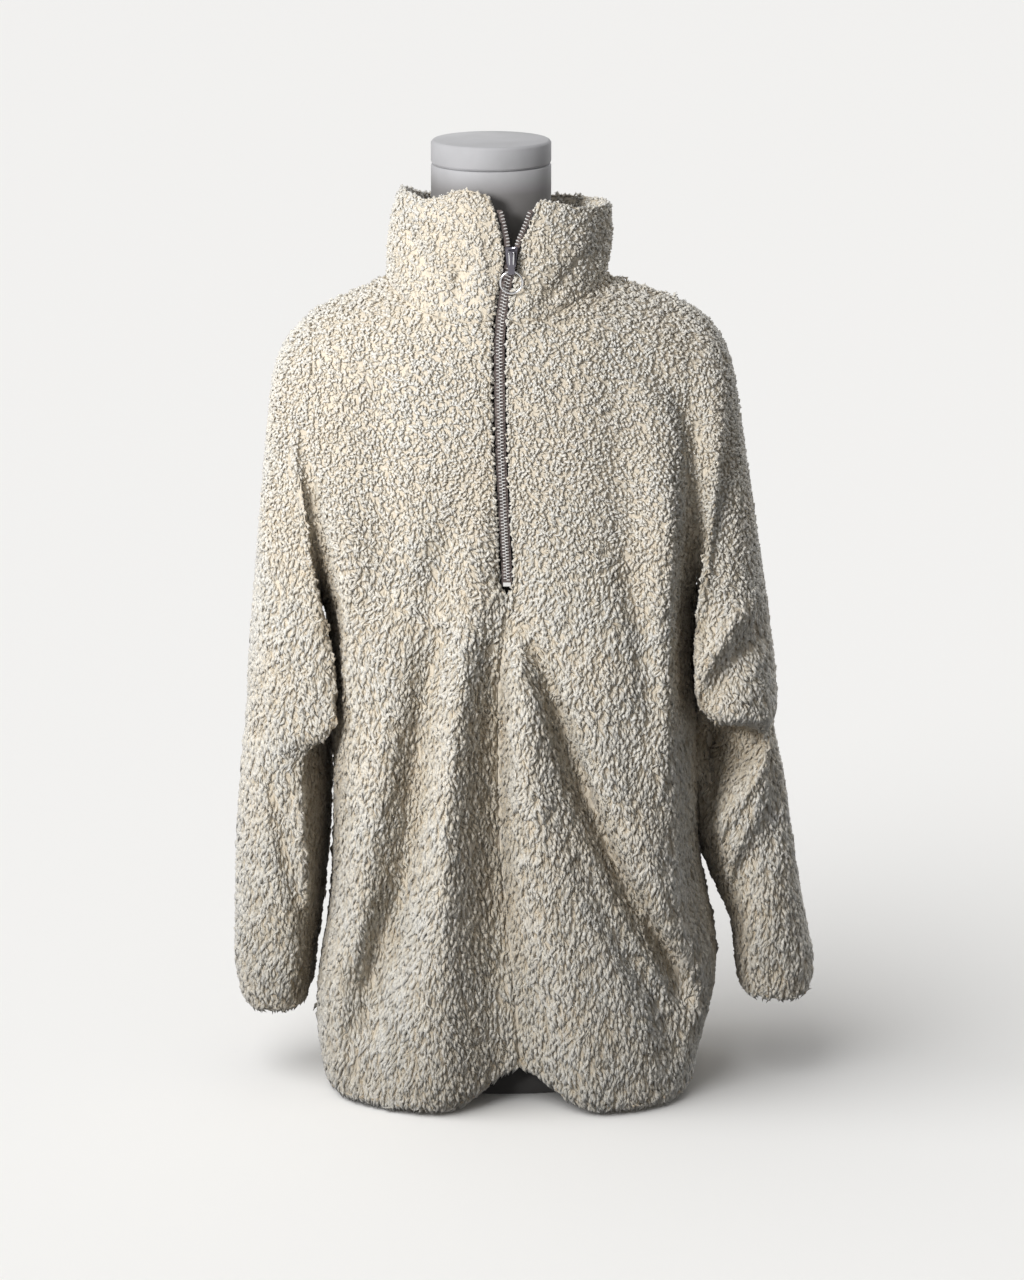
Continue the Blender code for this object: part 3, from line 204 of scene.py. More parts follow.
# Each panel's cut before it was sewn: width, length and area where it isn't a rectangle.
Cut = namedtuple("Cut", "width length area")
CUTS = {
    "front_left": Cut(0.26, 0.80, 0.19),
    "front_right": Cut(0.26, 0.80, 0.19),
    "back": Cut(0.50, 0.80, 0.36),
    "collar": Cut(0.62, 0.115, 0.056),
    "sleeve_left": Cut(0.38, 0.70, 0.20),
    "sleeve_right": Cut(0.38, 0.70, 0.20),
}
SPLIT = "back"  # its pile is made in two pieces, to keep each of them light
Panel = namedtuple("Panel", "work kind points facing")

# Painted shade: the pile is browner where other cloth hides more of the sky from it.
HOLLOW_PAINTED_SHADE_TINTS = ((0.06, (1.0, 1.0, 1.0)), (0.3, (0.95, 0.94, 0.92)), (0.55, (0.80, 0.77, 0.72)),
                (0.85, (0.52, 0.48, 0.42)))
# Painted shade on the form: darker further down, inside the collar and under the hem, by height in metres.
PAINTED_SHADE_BY_HEIGHT = ((0.0, (0.07, 0.065, 0.06)), (0.80, (0.24, 0.23, 0.21)), (0.847, (0.42, 0.405, 0.39)),
                  (0.868, (1.0, 1.0, 1.0)))
LENGTHWISE = (1, 1, 0.4)  # fibres are longer than wide
SCRATCHES = (1, 1, 0.08)
CLOUDY = 0.86  # the dimmest of a metal's finish
MIX_FACTOR, MIX_FIRST, MIX_SECOND, MIX_RESULT = 0, 6, 7, 2  # a colour mix's sockets

# ---------------------------------------------------------------- the zip's and the form's sizes
STRIP_DIGITS = 5  # a strip's corners are level when their heights in metres agree to this many digits
TOOTH_PITCH = 3.0
FIRST_TOOTH = {"left": 0.65, "right": 1.15}  # pitches from the strip's lower end, so that the rows interlock
TOOTH_REACH = 2.0  # the strip's direction is taken over this much on both sides of a tooth
TOOTH_WIDTH = 3.5
TOOTH_SHIFT = 0.25  # towards the other row
TOOTH_DEEP = 2.0
HEAD_DEEP = 0.8  # the head is shallower
TOOTH_TALL = 1.2
TAIL_TALL = 0.75  # and the tail less tall
TOOTH_EDGE = 0.35
SLIDER_EDGE = 0.45
CAP_EDGE = 1.5
STUB_EDGE = 0.8
TOOTH_SHARP = 40.0  # degrees; an edge that turns more than this is sharp
EDGE_ANGLE = 35.0  # and on the rounded pieces, one that turns more than this is rounded
FLAT_ANGLE = 0.5
BAR_APART, BAR_WIDE, BAR_PROUD = 1.9, 1.5, 0.8
BAR_LOW, BAR_DOWN = 791.0, 2.6  # its lower end, and its upper end under the slider's top
BAR_LEAN = 0.5
BAR_BLUNT, BAR_TIP = 0.35, 0.02  # how soon a bar swells from its tip, and how wide the tip is
BAR_STEPS, BAR_SIDES = 12, 12
RING_SEGMENTS = 72
RING_SIDES = 14

# ---------------------------------------------------------------- the studio, in metres
CAMERA = (0.0046, -4.5, 1.5387)
CAMERA_DOWN = 13.96  # degrees
CAMERA_LENS = 139.44
CAMERA_SENSOR = 36
CAMERA_REACH = 60
KEY_LAMP = (-1.2, -1.95, 1.45)  # a soft lamp beside the camera, on the wearer's right
KEY_AIM = (-0.12, 0, 0.58)
KEY_POWER = 250.0
KEY_SIZE = 0.32
KEY_CONE = 41.0
KEY_COLOUR = (1.0, 0.99, 0.975)
FLOOR_COLOUR = (0.90, 0.893, 0.878, 1)
FLOOR_REACH = 30
FLOOR_LAMP = (-1.1, -0.7, 1.4)
FLOOR_AIM = (0, 0, 0)
FLOOR_LIGHT = 2.42
FLOOR_SPREAD = 62.0
BACK_LAMP = (1.3, 1.7, 0.9)  # a wide soft lamp low down behind, on the left, for the back and the edges
BACK_AIM = (0, 0, 0.5)
BACK_LIGHT = 2.1
BACK_SPREAD = 60.0
AIR_BELOW, AIR_ABOVE = 0.09, 0.37  # light from all round, by direction
AIR_RIGHT, AIR_LEFT = 2.1, 0.45

rng = np.random.default_rng(20)
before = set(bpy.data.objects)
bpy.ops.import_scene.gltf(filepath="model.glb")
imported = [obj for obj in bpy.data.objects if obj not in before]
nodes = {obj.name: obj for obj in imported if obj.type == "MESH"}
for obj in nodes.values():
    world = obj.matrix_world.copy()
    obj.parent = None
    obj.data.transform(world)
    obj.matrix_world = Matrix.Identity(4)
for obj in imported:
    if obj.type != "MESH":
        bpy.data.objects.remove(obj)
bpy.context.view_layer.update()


# ---------------------------------------------------------------- materials
class Shading:
    """A material and its node tree, built by short calls."""

    def __init__(self, name):
        self.material = bpy.data.materials.new(name)
        self.material.use_nodes = True
        self.tree = self.material.node_tree
        self.shader = self.tree.nodes["Principled BSDF"]

    def node(self, kind, **settings):
        made = self.tree.nodes.new("ShaderNode" + kind)
        for key, value in settings.items():
            setattr(made, key, value)
        return made

    def link(self, source, target):
        self.tree.links.new(source, target)

    def place(self, scale=(1, 1, 1)):
        """The object's own coordinates, scaled."""
        where = self.node("TexCoord")
        mapping = self.node("Mapping")
        mapping.inputs["Scale"].default_value = scale
        self.link(where.outputs["Object"], mapping.inputs["Vector"])
        return mapping.outputs["Vector"]

    def texture(self, kind, vector, values, **settings):
        made = self.node(kind, **settings)
        for socket, value in values.items():
            made.inputs[socket].default_value = value
        self.link(vector, made.inputs["Vector"])
        return made.outputs["Fac"]

    def noise(self, vector, scale, detail=3.0, roughness=0.5):
        return self.texture("TexNoise", vector, {"Scale": scale, "Detail": detail, "Roughness": roughness})

    def waves(self, vector, direction, scale, distortion):
        """Parallel waves, for ribs and threads."""
        return self.texture("TexWave", vector, {"Scale": scale, "Distortion": distortion}, wave_type="BANDS",
                            bands_direction=direction)

    def ramp(self, value, stops):
        made = self.node("ValToRGB")
        points = made.color_ramp.elements
        while len(points) < len(stops):
            points.new(0.5)
        for point, (at, colour) in zip(points, stops):
            point.position = at
            point.color = (*colour, 1)
        self.link(value, made.inputs["Fac"])
        return made.outputs["Color"]

    def multiply(self, first, *others):
        """Colours multiplied with one another."""
        for other in others:
            made = self.node("Mix", data_type="RGBA", blend_type="MULTIPLY")
            made.inputs[MIX_FACTOR].default_value = 1.0
            self.link(first, made.inputs[MIX_FIRST])
            self.link(other, made.inputs[MIX_SECOND])
            first = made.outputs[MIX_RESULT]
        return first

    def bump(self, height, strength, distance, under=None):
        made = self.node("Bump")
        made.inputs["Strength"].default_value = strength
        made.inputs["Distance"].default_value = distance
        self.link(height, made.inputs["Height"])
        if under:
            self.link(under, made.inputs["Normal"])
        return made.outputs["Normal"]

    def finish(self, colour, normal, values):
        """Link the shader's colour and normal, and set its plain values by their names."""
        self.link(colour, self.shader.inputs["Base Color"])
        self.link(normal, self.shader.inputs["Normal"])
        for socket, value in values.items():
            self.shader.inputs[socket].default_value = value
        return self.material


def pile_material():
    """Curly cream fibres, pale at the tips, each lock with a tint of its own, and painted shade: brown at the
    roots between the locks, darker in the partings and browner where other cloth hides the sky.
    """
    look = Shading("fleece_pile")
    lock = look.node("Attribute", attribute_name="pile")
    parts = look.node("SeparateColor")
    look.link(lock.outputs["Color"], parts.inputs["Color"])
    # painted shade: each lock is brown at its root, where shade falls between the locks, and pale towards its
    # tip
    along = look.ramp(parts.outputs["Red"], ((0.0, (0.62, 0.54, 0.43)), (0.4, (0.86, 0.83, 0.77)),
                                             (1.0, (0.975, 0.96, 0.93))))
    tint = look.ramp(parts.outputs["Green"], ((0.0, (0.93, 0.915, 0.885)), (0.5, (0.98, 0.975, 0.965)),
                                              (1.0, (1.0, 1.0, 1.0))))
    # painted shade: darker in the partings between clumps, where they sink
    painted_parting_shade = look.ramp(parts.outputs["Blue"], ((0.1, (0.84, 0.81, 0.76)), (0.6, (1.0, 1.0, 1.0))))
    # painted shade: browner where other cloth hides more of the sky
    painted_hollow_shade = look.ramp(lock.outputs["Alpha"], HOLLOW_PAINTED_SHADE_TINTS)
    patches = look.noise(look.place(), 14.0)
    patches = look.ramp(patches, ((0.35, (1.0, 0.97, 0.92)), (0.65, (0.98, 0.985, 0.98))))
    fibres = look.noise(look.place(LENGTHWISE), 850.0, 3.0, 0.6)
    strands = look.ramp(fibres, ((0.34, (0.88, 0.865, 0.84)), (0.56, (1.0, 1.0, 1.0))))
    colour = look.multiply(along, tint, patches, painted_parting_shade, painted_hollow_shade, strands)
    return look.finish(colour, look.bump(fibres, 0.8, 0.0012), {
        "Roughness": 0.85, "Sheen Weight": 0.3, "Sheen Roughness": 0.45, "Specular IOR Level": 0.25,
        "Subsurface Weight": 0.4, "Subsurface Scale": 0.0025, "Subsurface Radius": (1.0, 0.96, 0.9)})


def backing_material():
    """The knit that holds the pile, seen between the locks and inside the hem and the cuffs. Its tan is partly
    the knit's own colour and partly painted shade in the gaps between the locks.
    """
    look = Shading("fleece_backing")
    place = look.place()
    # partly painted shade: darker than the pile, for the gaps between the locks
    colour = look.ramp(look.noise(place, 240.0), ((0.3, (0.70, 0.62, 0.50)), (0.7, (0.80, 0.73, 0.61))))
    knit = look.waves(place, "X", 260.0, 3.0)
    return look.finish(colour, look.bump(knit, 0.5, 0.0006), {"Roughness": 0.95, "Sheen Weight": 0.2})


def tape_material():
    """Woven zip tape with dark brown ribs."""
    look = Shading("zip_tape_weave")
    place = look.place()
    colour = look.ramp(look.noise(place, 90.0), ((0.3, (0.085, 0.066, 0.064)), (0.7, (0.18, 0.145, 0.135))))
    ribs = look.waves(place, "Z", 420.0, 0.6)
    return look.finish(colour, look.bump(ribs, 0.6, 0.0004), {"Roughness": 0.8, "Sheen Weight": 0.1})


def metal_material(name, colour, roughness, metallic=1.0):
    """Polished metal with fine scratches and a slightly cloudy finish."""
    look = Shading(name)
    dim = tuple(part * CLOUDY for part in colour)
    cloud = look.ramp(look.noise(look.place(), 160.0), ((0.3, dim), (0.7, colour)))
    scratches = look.noise(look.place(SCRATCHES), 2600.0, 2.0)
    scratched = look.bump(scratches, 0.12, 0.0002)
    return look.finish(cloud, scratched, {"Metallic": metallic, "Roughness": roughness})


def form_material():
    """The dress form's stretched cotton with its fine weave, and painted shade: darker inside the collar and
    further down under the hem.
    """
    look = Shading("form_cotton")
    place = look.place()
    cotton = look.ramp(look.noise(place, 30.0), ((0.3, (0.43, 0.43, 0.445)), (0.7, (0.48, 0.48, 0.50))))
    parts = look.node("SeparateXYZ")
    look.link(place, parts.inputs["Vector"])
    # painted shade, darker inside the collar and under the hem
    painted_form_shade = look.ramp(parts.outputs["Z"], PAINTED_SHADE_BY_HEIGHT)
    warp = look.bump(look.waves(place, "X", 330.0, 0.8), 0.25, 0.0003)
    weave = look.bump(look.waves(place, "Z", 330.0, 0.8), 0.25, 0.0003, warp)
    return look.finish(look.multiply(cotton, painted_form_shade), weave, {"Roughness": 0.85, "Sheen Weight": 0.15})


def placed(data):
    """A new object in the scene for a mesh, a lamp or a camera, with its name."""
    made = bpy.data.objects.new(data.name, data)
    bpy.context.scene.collection.objects.link(made)
    return made


def mesh_of(work, name, material):
    """Turn a bmesh into a smooth mesh of one material."""
    mesh = bpy.data.meshes.new(name)
    work.to_mesh(mesh)
    work.free()
    mesh.materials.append(material)
    mesh.shade_smooth()
    return mesh


# ---------------------------------------------------------------- the cloth's surfaces
INSIDE, OUTSIDE, RIM, SEAM = range(4)


def welded(name):
    """The frame's mesh of a node, with its split vertices joined."""
    work = bmesh.new()
    work.from_mesh(nodes[name].data)
    bmesh.ops.remove_doubles(work, verts=work.verts, dist=WELD * MM)
    bmesh.ops.recalc_face_normals(work, faces=work.faces)
    return work


def away_from_middle(name, point):
    """The direction from the middle of the hollow that a panel goes round to a point."""
    if name in SLEEVE_MIDDLES:
        line = [Vector(p) * MM for p in SLEEVE_MIDDLES[name]]
        spots = []
        for start, end in zip(line[:-1], line[1:]):
            share = (point - start).dot(end - start) / (end - start).length_squared
            spots.append(start + (end - start) * max(0.0, min(1.0, share)))
        nearest = min(spots, key=lambda spot: (point - spot).length)
        return (point - nearest).normalized()
    up = max(0.0, point.z - SHOULDER_Z * MM) * SHOULDER_TURN if name != "collar" else 0.0
    return Vector((point.x - TRUNK_MIDDLE * MM, point.y, up)).normalized()


def sort_faces(name, work, others):
    """Mark each face as inside, outside, a free rim or the side of a seam."""
    kind = work.faces.layers.int.new("kind")
    open_faces = []
    for face in work.faces:
        middle = face.calc_center_median()
        place, normal, _, _ = others.ray_cast(middle + face.normal * WELD * MM, face.normal, SEAM_REACH * MM)
        turn = face.normal.dot(away_from_middle(name, middle))
        if place is not None and abs(normal.dot(face.normal)) > SEAM_FACING:
            face[kind] = SEAM
        elif turn > FACING:
            face[kind] = OUTSIDE
        elif turn < -FACING:
            face[kind] = INSIDE
        else:
            face[kind] = RIM
            open_faces.append(face)
    for _ in range(SORT_PASSES):  # a doubtful face joins the side that it bends smoothly into
        for face in list(open_faces):
            for edge in face.edges:
                for other in edge.link_faces:
                    if other[kind] in (INSIDE, OUTSIDE) and other.normal.dot(face.normal) > SAME_SIDE:
                        face[kind] = other[kind]
            if face[kind] != RIM:
                open_faces.remove(face)
    return kind


def smooth(at, places, values):
    """A smooth curve through values at rising places, level at both ends, and its slope."""
    tangent = np.gradient(values, places)
    tangent[0] = tangent[-1] = 0
    at = np.clip(at, places[0], places[-1])
    k = np.clip(np.searchsorted(places, at, "right") - 1, 0, len(places) - 2)
    step = places[k + 1] - places[k]
    share = (at - places[k]) / step
    rise = values[k + 1] - values[k]
    near, far = tangent[k] * step, tangent[k + 1] * step
    square, cube = 3 * rise - 2 * near - far, near + far - 2 * rise
    curve = values[k] + near * share + square * share**2 + cube * share**3
    slope = (near + 2 * square * share + 3 * cube * share**2) / step
    return curve, slope


def relief(creases, points):
    """How far creases move points outward, in millimetres."""
    x, z = points[:, 0] / MM, points[:, 2] / MM
    total = np.zeros(len(points))
    for crease in creases:
        heights, middles, depths = np.array(crease.path, float).T
        middle, slope = smooth(z, heights, middles)
        across = (x - middle) / np.sqrt(1 + slope**2)
        depth, _ = smooth(z, heights, depths)
        total += depth * np.exp(-((across / np.where(across < 0, crease.low, crease.high)) ** 2))
    return total


def creases_of(name, front):
    """A panel's creases on one side. A sleeve also has the body's, which cross the valley between them."""
    if name == "collar":
        return COLLAR_FRONT if front else COLLAR_BACK
    body, sleeve = (BODY_FRONT, SLEEVE_FRONT) if front else (BODY_BACK, SLEEVE_BACK)
    return body + sleeve if name in SLEEVE_MIDDLES else body


def press_creases(name, work, kind):
    """Press the creases of a panel into both of its skins."""
    work.normal_update()
    verts = list(work.verts)
    points = np.array([v.co for v in verts])
    inner = np.array([all(f[kind] == INSIDE for f in v.link_faces) for v in verts])
    for side in (-1, 1):
        creases = creases_of(name, side < 0)
        depth = relief(creases, points)
        low = depth
        for dx, dz in product((-1, 0, 1), repeat=2):
            low = np.minimum(low, relief(creases, points + np.array((dx, 0, dz)) * INNER_REACH * MM))
        depth = np.where(inner, low, depth)
        start = np.where(inner, CREASE_START - WALL, CREASE_START) * MM
        share = np.clip((points[:, 1] * side - start) / (CREASE_FULL * MM), 0, 1)
        move = depth * share * MM * side
        for vertex, step in zip(verts, move):
            vertex.co.y += step
    if name == "sleeve_left":
        heights, swells = np.array(SLEEVE_SWELL, float).T
        swell, _ = smooth(points[:, 2] / MM, heights, swells)
        for vertex, step in zip(verts, swell):
            inward = max(0.0, -away_from_middle(name, vertex.co).x)
            vertex.co.x -= step * inward * MM
    work.normal_update()


def cloth_surface(name, others):
    """A refined copy of a panel, with its layer of kinds. Its outer skin is smooth and takes creases."""
    work = welded(name)
    kind = sort_faces(name, work, others)
    bmesh.ops.subdivide_edges(work, edges=work.edges, cuts=1, use_grid_fill=True)
    bmesh.ops.triangulate(work, faces=work.faces)
    outer = {e for f in work.faces if f[kind] == OUTSIDE for e in f.edges}
    bmesh.ops.subdivide_edges(work, edges=list(outer), cuts=1, use_grid_fill=True)
    bmesh.ops.triangulate(work, faces=work.faces)
    skin = [v for v in work.verts if all(f[kind] == OUTSIDE for f in v.link_faces)]
    for _ in range(SMOOTH_PASSES):
        bmesh.ops.smooth_vert(work, verts=skin, factor=0.5, use_axis_x=True, use_axis_y=True, use_axis_z=True)
    press_creases(name, work, kind)
    return work, kind


def pile_sides(name):
    return (OUTSIDE, RIM, INSIDE) if name == "collar" else (OUTSIDE, RIM)


def pile_faces(name, work, kind):
    """Corners and corner normals of the faces that carry pile."""
    corners, normals = [], []
    for face in work.faces:
        if face[kind] in pile_sides(name):
            corners.append([v.co[:] for v in face.verts])
            normals.append([v.normal[:] if face[kind] != RIM else face.normal[:] for v in face.verts])
    return np.array(corners), np.array(normals)


def sink(name, work, kind):
    """Move the skins that carry pile in to where it is rooted."""
    depth = PILE * MM * (COLLAR_PILE if name == "collar" else 1.0)
    moves = []
    for vertex in work.verts:
        faces = [f for f in vertex.link_faces if f[kind] in pile_sides(name)]
        if faces:
            out = sum((f.normal * f.calc_area() for f in faces), Vector()).normalized()
            moves.append((vertex, out * depth))
    for vertex, move in moves:
        vertex.co -= move


# ---------------------------------------------------------------- the pile
def by_height(z, value):
    rows = PILE_BY_HEIGHT
    return np.interp(z / MM, [r.z for r in rows], [getattr(r, value) for r in rows])


def scatter(corners, normals):
    """Points spread evenly over faces, with the pile's spacing, and their normals."""
    a, b, c = corners[:, 0], corners[:, 1], corners[:, 2]
    area = np.linalg.norm(np.cross(b - a, c - a), axis=1) / 2
    least = min(r.spacing for r in PILE_BY_HEIGHT) * MM
    count = int(area.sum() / least**2 * SCATTER_TRIES)
    pick = rng.choice(len(area), count, p=area / area.sum())
    u, v = rng.random((2, count, 1))
    u, v = np.where(u + v > 1, 1 - u, u), np.where(u + v > 1, 1 - v, v)
    points = a[pick] + u * (b[pick] - a[pick]) + v * (c[pick] - a[pick])
    weight = np.concatenate([1 - u - v, u, v], axis=1)
    facing = (normals[pick] * weight[..., None]).sum(axis=1)
    facing /= np.linalg.norm(facing, axis=1, keepdims=True)
    spacing = by_height(points[:, 2], "spacing") * MM
    tree = KDTree(count)
    for index, point in enumerate(points):
        tree.insert(point, index)
    tree.balance()
    taken = np.zeros(count, bool)
    kept = []
    for index in range(count):
        if not taken[index]:
            kept.append(index)
            for _, other, _ in tree.find_range(points[index], spacing[index]):
                taken[other] = True
    return points[kept], facing[kept]


def swirls(points, size):
    """A smoothly changing direction at each point, with turns of a size. Blender draws it anew in each run."""
    return np.array([noise.noise_vector(Vector(p) / (size * MM)) for p in points])


def unit(vectors):
    return vectors / (np.linalg.norm(vectors, axis=1, keepdims=True) + 1e-12)


def shade_of_hollows(skins, points, normals):
    """The share of each point's sky that the cloth hides, measured at some points and spread to the rest."""
    corners, faces = [], []
    for work in skins:
        work.verts.ensure_lookup_table()
        faces += [[len(corners) + v.index for v in f.verts] for f in work.faces]
        corners += [v.co[:] for v in work.verts]
    cloth = BVHTree.FromPolygons(corners, faces)
    chosen = np.linspace(0, len(points) - 1, HOLLOW_PLACES).astype(int)
    shares = np.arange(HOLLOW_RAYS) + 0.5
    up = np.sqrt(1 - HOLLOW_SPREAD * shares / HOLLOW_RAYS)
    turn = shares * pi * (3 - 5**0.5)
    out = np.sqrt(1 - up**2)
    rays = [Vector(ray) for ray in zip(out * np.cos(turn), out * np.sin(turn), up)]
    tree = KDTree(HOLLOW_PLACES)
    hidden = []
    for index, place in enumerate(chosen):
        point, normal = Vector(points[place]), Vector(normals[place])
        turned = normal.to_track_quat("Z", "Y")
        start = point + normal * HOLLOW_START * MM
        hits = [cloth.ray_cast(start, turned @ ray, HOLLOW_REACH * MM)[0] for ray in rays]
        hidden.append(sum(hit is not None for hit in hits))
        tree.insert(point, index)
    tree.balance()
    hidden = np.array(hidden) / HOLLOW_RAYS
    return np.array([np.mean([hidden[i] for _, i, _ in tree.find_n(point, HOLLOW_NEAR)]) for point in points])


def zip_middle(z):
    """The x and y of the line between the rows of teeth, at each height."""
    return np.interp(z, zip_line[:, 2], zip_line[:, 0]), np.interp(z, zip_line[:, 2], zip_line[:, 1])


def clumps(points, normals):
    """How far each point is up a clump, from -1 to 1, and the way along the cloth to the clump's middle."""
    tall = np.interp(points[:, 2] / MM, CLUMP_HEIGHTS, (CLUMP_TALL, CLUMP_WIDE)) * MM
    wide = np.full(len(points), CLUMP_WIDE * MM)
    grain = np.stack([wide, wide, tall], axis=1)
    bend = swirls(points, CLUMP_BEND_SIZE) * CLUMP_BEND * MM

    def value(at):
        return np.array([noise.noise(Vector(p)) for p in (at + bend) / grain])

    here = value(points)
    rise = np.stack([value(points + axis * CLUMP_STEP * MM) - here for axis in np.eye(3)], axis=1)
    slope = rise / CLUMP_STEP * CLUMP_WIDE
    slope -= normals * (slope * normals).sum(axis=1, keepdims=True)
    return np.clip(here * CLUMP_CONTRAST, -1, 1), slope


def comb(points, normals):
    """The direction of each lock along the cloth, down with swirls, and whether it is beside the zip."""
    strength = by_height(points[:, 2], "swirl")[:, None]
    swirl = swirls(points, WIDE_SWIRL) + SMALL_SWIRL_SHARE * swirls(points + 1.0, SMALL_SWIRL)
    lie = np.array((0, 0, -1.0)) + strength * swirl
    lie += rng.normal(0, LOCK_SCATTER, lie.shape) * (SWIRL_FLOOR + strength)
    middle_x, middle_y = zip_middle(points[:, 2])
    beside = (points[:, 0] - middle_x) / MM
    near = np.abs(beside) < ZIP_COMB
    near &= (points[:, 1] < middle_y + ZIP_BEHIND * MM) & (points[:, 2] > zip_line[0, 2])
    lie = np.where(near[:, None], lie * ZIP_CALM, lie)
    lie[:, 0] += np.where(near, -np.sign(beside) * ZIP_LEAN, 0)
    return unit(lie - normals * (lie * normals).sum(axis=1, keepdims=True)), near


def lock_middles(points, normals, stations, along, near_zip):
    """The middles of locks at their stations, and each lock's width, roll and height in its clump."""
    count = len(points)
    side = np.cross(normals, along)
    length = by_height(points[:, 2], "length") * rng.uniform(*LENGTHS, count) * MM
    width = by_height(points[:, 2], "width") * rng.uniform(*WIDTHS, count) * MM
    length[near_zip] *= ZIP_SHORT
    curl = by_height(points[:, 2], "curl") * length * rng.uniform(*CURLS, count) * rng.choice((-1, 1), count)
    phase = rng.uniform(0, 2 * pi, count)
    stray = rng.random(count) < STRAY_SHARE
    up_clump, to_clump = clumps(points, normals)
    pull = np.clip(to_clump, -CLUMP_STEEP, CLUMP_STEEP) * CLUMP_PULL * MM
    sunk = (np.minimum(up_clump, CLUMP_TOP) - CLUMP_TOP) * CLUMP_SINK * MM
    roll = rng.uniform(-LOCK_ROLL, LOCK_ROLL, count)
    middles = []
    for station in stations:
        wave = (np.sin(LOCK_HALF_WAVES * pi * station.share + phase) - np.sin(phase)) * curl
        rise = station.height * PILE * MM + stray * station.share * STRAY_LIFT * MM
        if station.share > 0:
            rise += rng.normal(0, LOCK_ROUGH, count) * MM + sunk
        else:
            rise -= ROOT_SUNK * MM
        start = (station.share - LOCK_ANCHOR) * length
        middles.append(points + along * start[:, None] + normals * rise[:, None] + side * wave[:, None]
                       + pull * station.share)
    return middles, width, roll, up_clump


def lock_corners(middles, normals, stations, width, roll):
    """The corners of locks: rings of three where a station is wide, single points where it isn't."""
    rows = []
    for k, station in enumerate(stations):
        if station.width == 0:
            rows.append(middles[k])
            continue
        ahead = unit(middles[k + 1] - middles[max(k - 1, 0)])
        level_up = unit(normals - ahead * (normals * ahead).sum(axis=1, keepdims=True))
        level_across = np.cross(ahead, level_up)
        turn_cos, turn_sin = np.cos(roll)[:, None], np.sin(roll)[:, None]
        up = level_up * turn_cos + level_across * turn_sin
        across = level_across * turn_cos - level_up * turn_sin
        wide = (width * station.width)[:, None]
        belly = up * wide * LOCK_BELLY
        rows += [middles[k] - across * wide / 2 - belly, middles[k] + across * wide / 2 - belly,
                 middles[k] + up * wide * LOCK_RIDGE]
    return np.array(rows).transpose(1, 0, 2)  # by lock, corner and axis


def clear_zip(corners, points, near_zip):
    """Move the corners of locks off the zip, each to the side where its lock is rooted."""
    middle_x, _ = zip_middle(corners[..., 2])
    in_way = near_zip[:, None] & (np.abs(corners[..., 0] - middle_x) < ZIP_CLEAR * MM)
    own_side = np.sign(points[:, 0] - zip_middle(points[:, 2])[0])[:, None]
    corners[..., 0] = np.where(in_way, middle_x + own_side * ZIP_CLEAR * MM, corners[..., 0])


def lock_points(points, normals, stations):
    """The corners of locks of one kind, and how far each lock is up its clump."""
    along, near_zip = comb(points, normals)
    middles, width, roll, up_clump = lock_middles(points, normals, stations, along, near_zip)
    corners = lock_corners(middles, normals, stations, width, roll)
    clear_zip(corners, points, near_zip)
    corners[..., 2] = np.maximum(corners[..., 2], FLOOR_CLEAR * MM)
    return corners, up_clump


def ring_size(station):
    return 3 if station.width else 1


def lock_faces(stations):
    """The triangles of one lock, facing out: a first ring is closed, and a band joins each two stations."""
    faces = [(0, 1, 2)] if stations[0].width else []
    first = 0
    for near, far in zip(stations[:-1], stations[1:]):
        start = first + ring_size(near)
        for i in range(3):
            j = (i + 1) % 3
            low, next_low = (first + i, first + j) if near.width else (first, first)
            high, next_high = (start + i, start + j) if far.width else (start, start)
            if near.width:
                faces.append((low, next_high, next_low))
            if far.width:
                faces.append((low, high, next_high))
        first = start
    return np.array(faces)


def build_locks(name, points, normals, painted_hollow_shade, material):
    """One mesh of curly locks, of both kinds."""
    small = rng.random(len(points)) < by_height(points[:, 2], "curls")
    corners, faces, facing, shades = [], [], [], []
    first = 0
    for stations, chosen in ((LONG_LOCK, ~small), (SMALL_CURL, small)):
        count = int(chosen.sum())
        if not count:
            continue
        locks, up_clump = lock_points(points[chosen], normals[chosen], stations)
        per_lock = locks.shape[1]
        starts = first + np.arange(count) * per_lock
        faces.append((lock_faces(stations)[None] + starts[:, None, None]).reshape(-1, 3))
        corners.append(locks.reshape(-1, 3))
        facing.append(np.repeat(normals[chosen], per_lock, axis=0))
        # the pile attribute: share along the lock, the lock's tint, height up its clump and hidden sky; all
        # but the tint drive painted shade
        shade = np.zeros((count, per_lock, 4))
        shade[..., 0] = np.repeat([station.share for station in stations], [ring_size(s) for s in stations])
        shade[..., 1] = rng.random(count)[:, None]
        shade[..., 2] = (up_clump[:, None] + 1) / 2
        shade[..., 3] = painted_hollow_shade[chosen][:, None]
        shades.append(shade.reshape(-1, 4))
        first += count * per_lock
    mesh = mesh_from_arrays(name, np.concatenate(corners), np.concatenate(faces), material)
    soften(mesh, np.concatenate(facing), CLOTH_SHADING)
    layer = mesh.attributes.new("pile", "FLOAT_COLOR", "POINT")
    layer.data.foreach_set("color", np.concatenate(shades).ravel())
    return placed(mesh)


def soften(mesh, facing, share):
    """Turn a mesh's vertex normals part of the way to facing, so that its shading follows the cloth."""
    own = np.empty(len(mesh.vertices) * 3)
    mesh.vertices.foreach_get("normal", own)
    mesh.normals_split_custom_set_from_vertices(unit(own.reshape(-1, 3) * (1 - share) + facing * share))


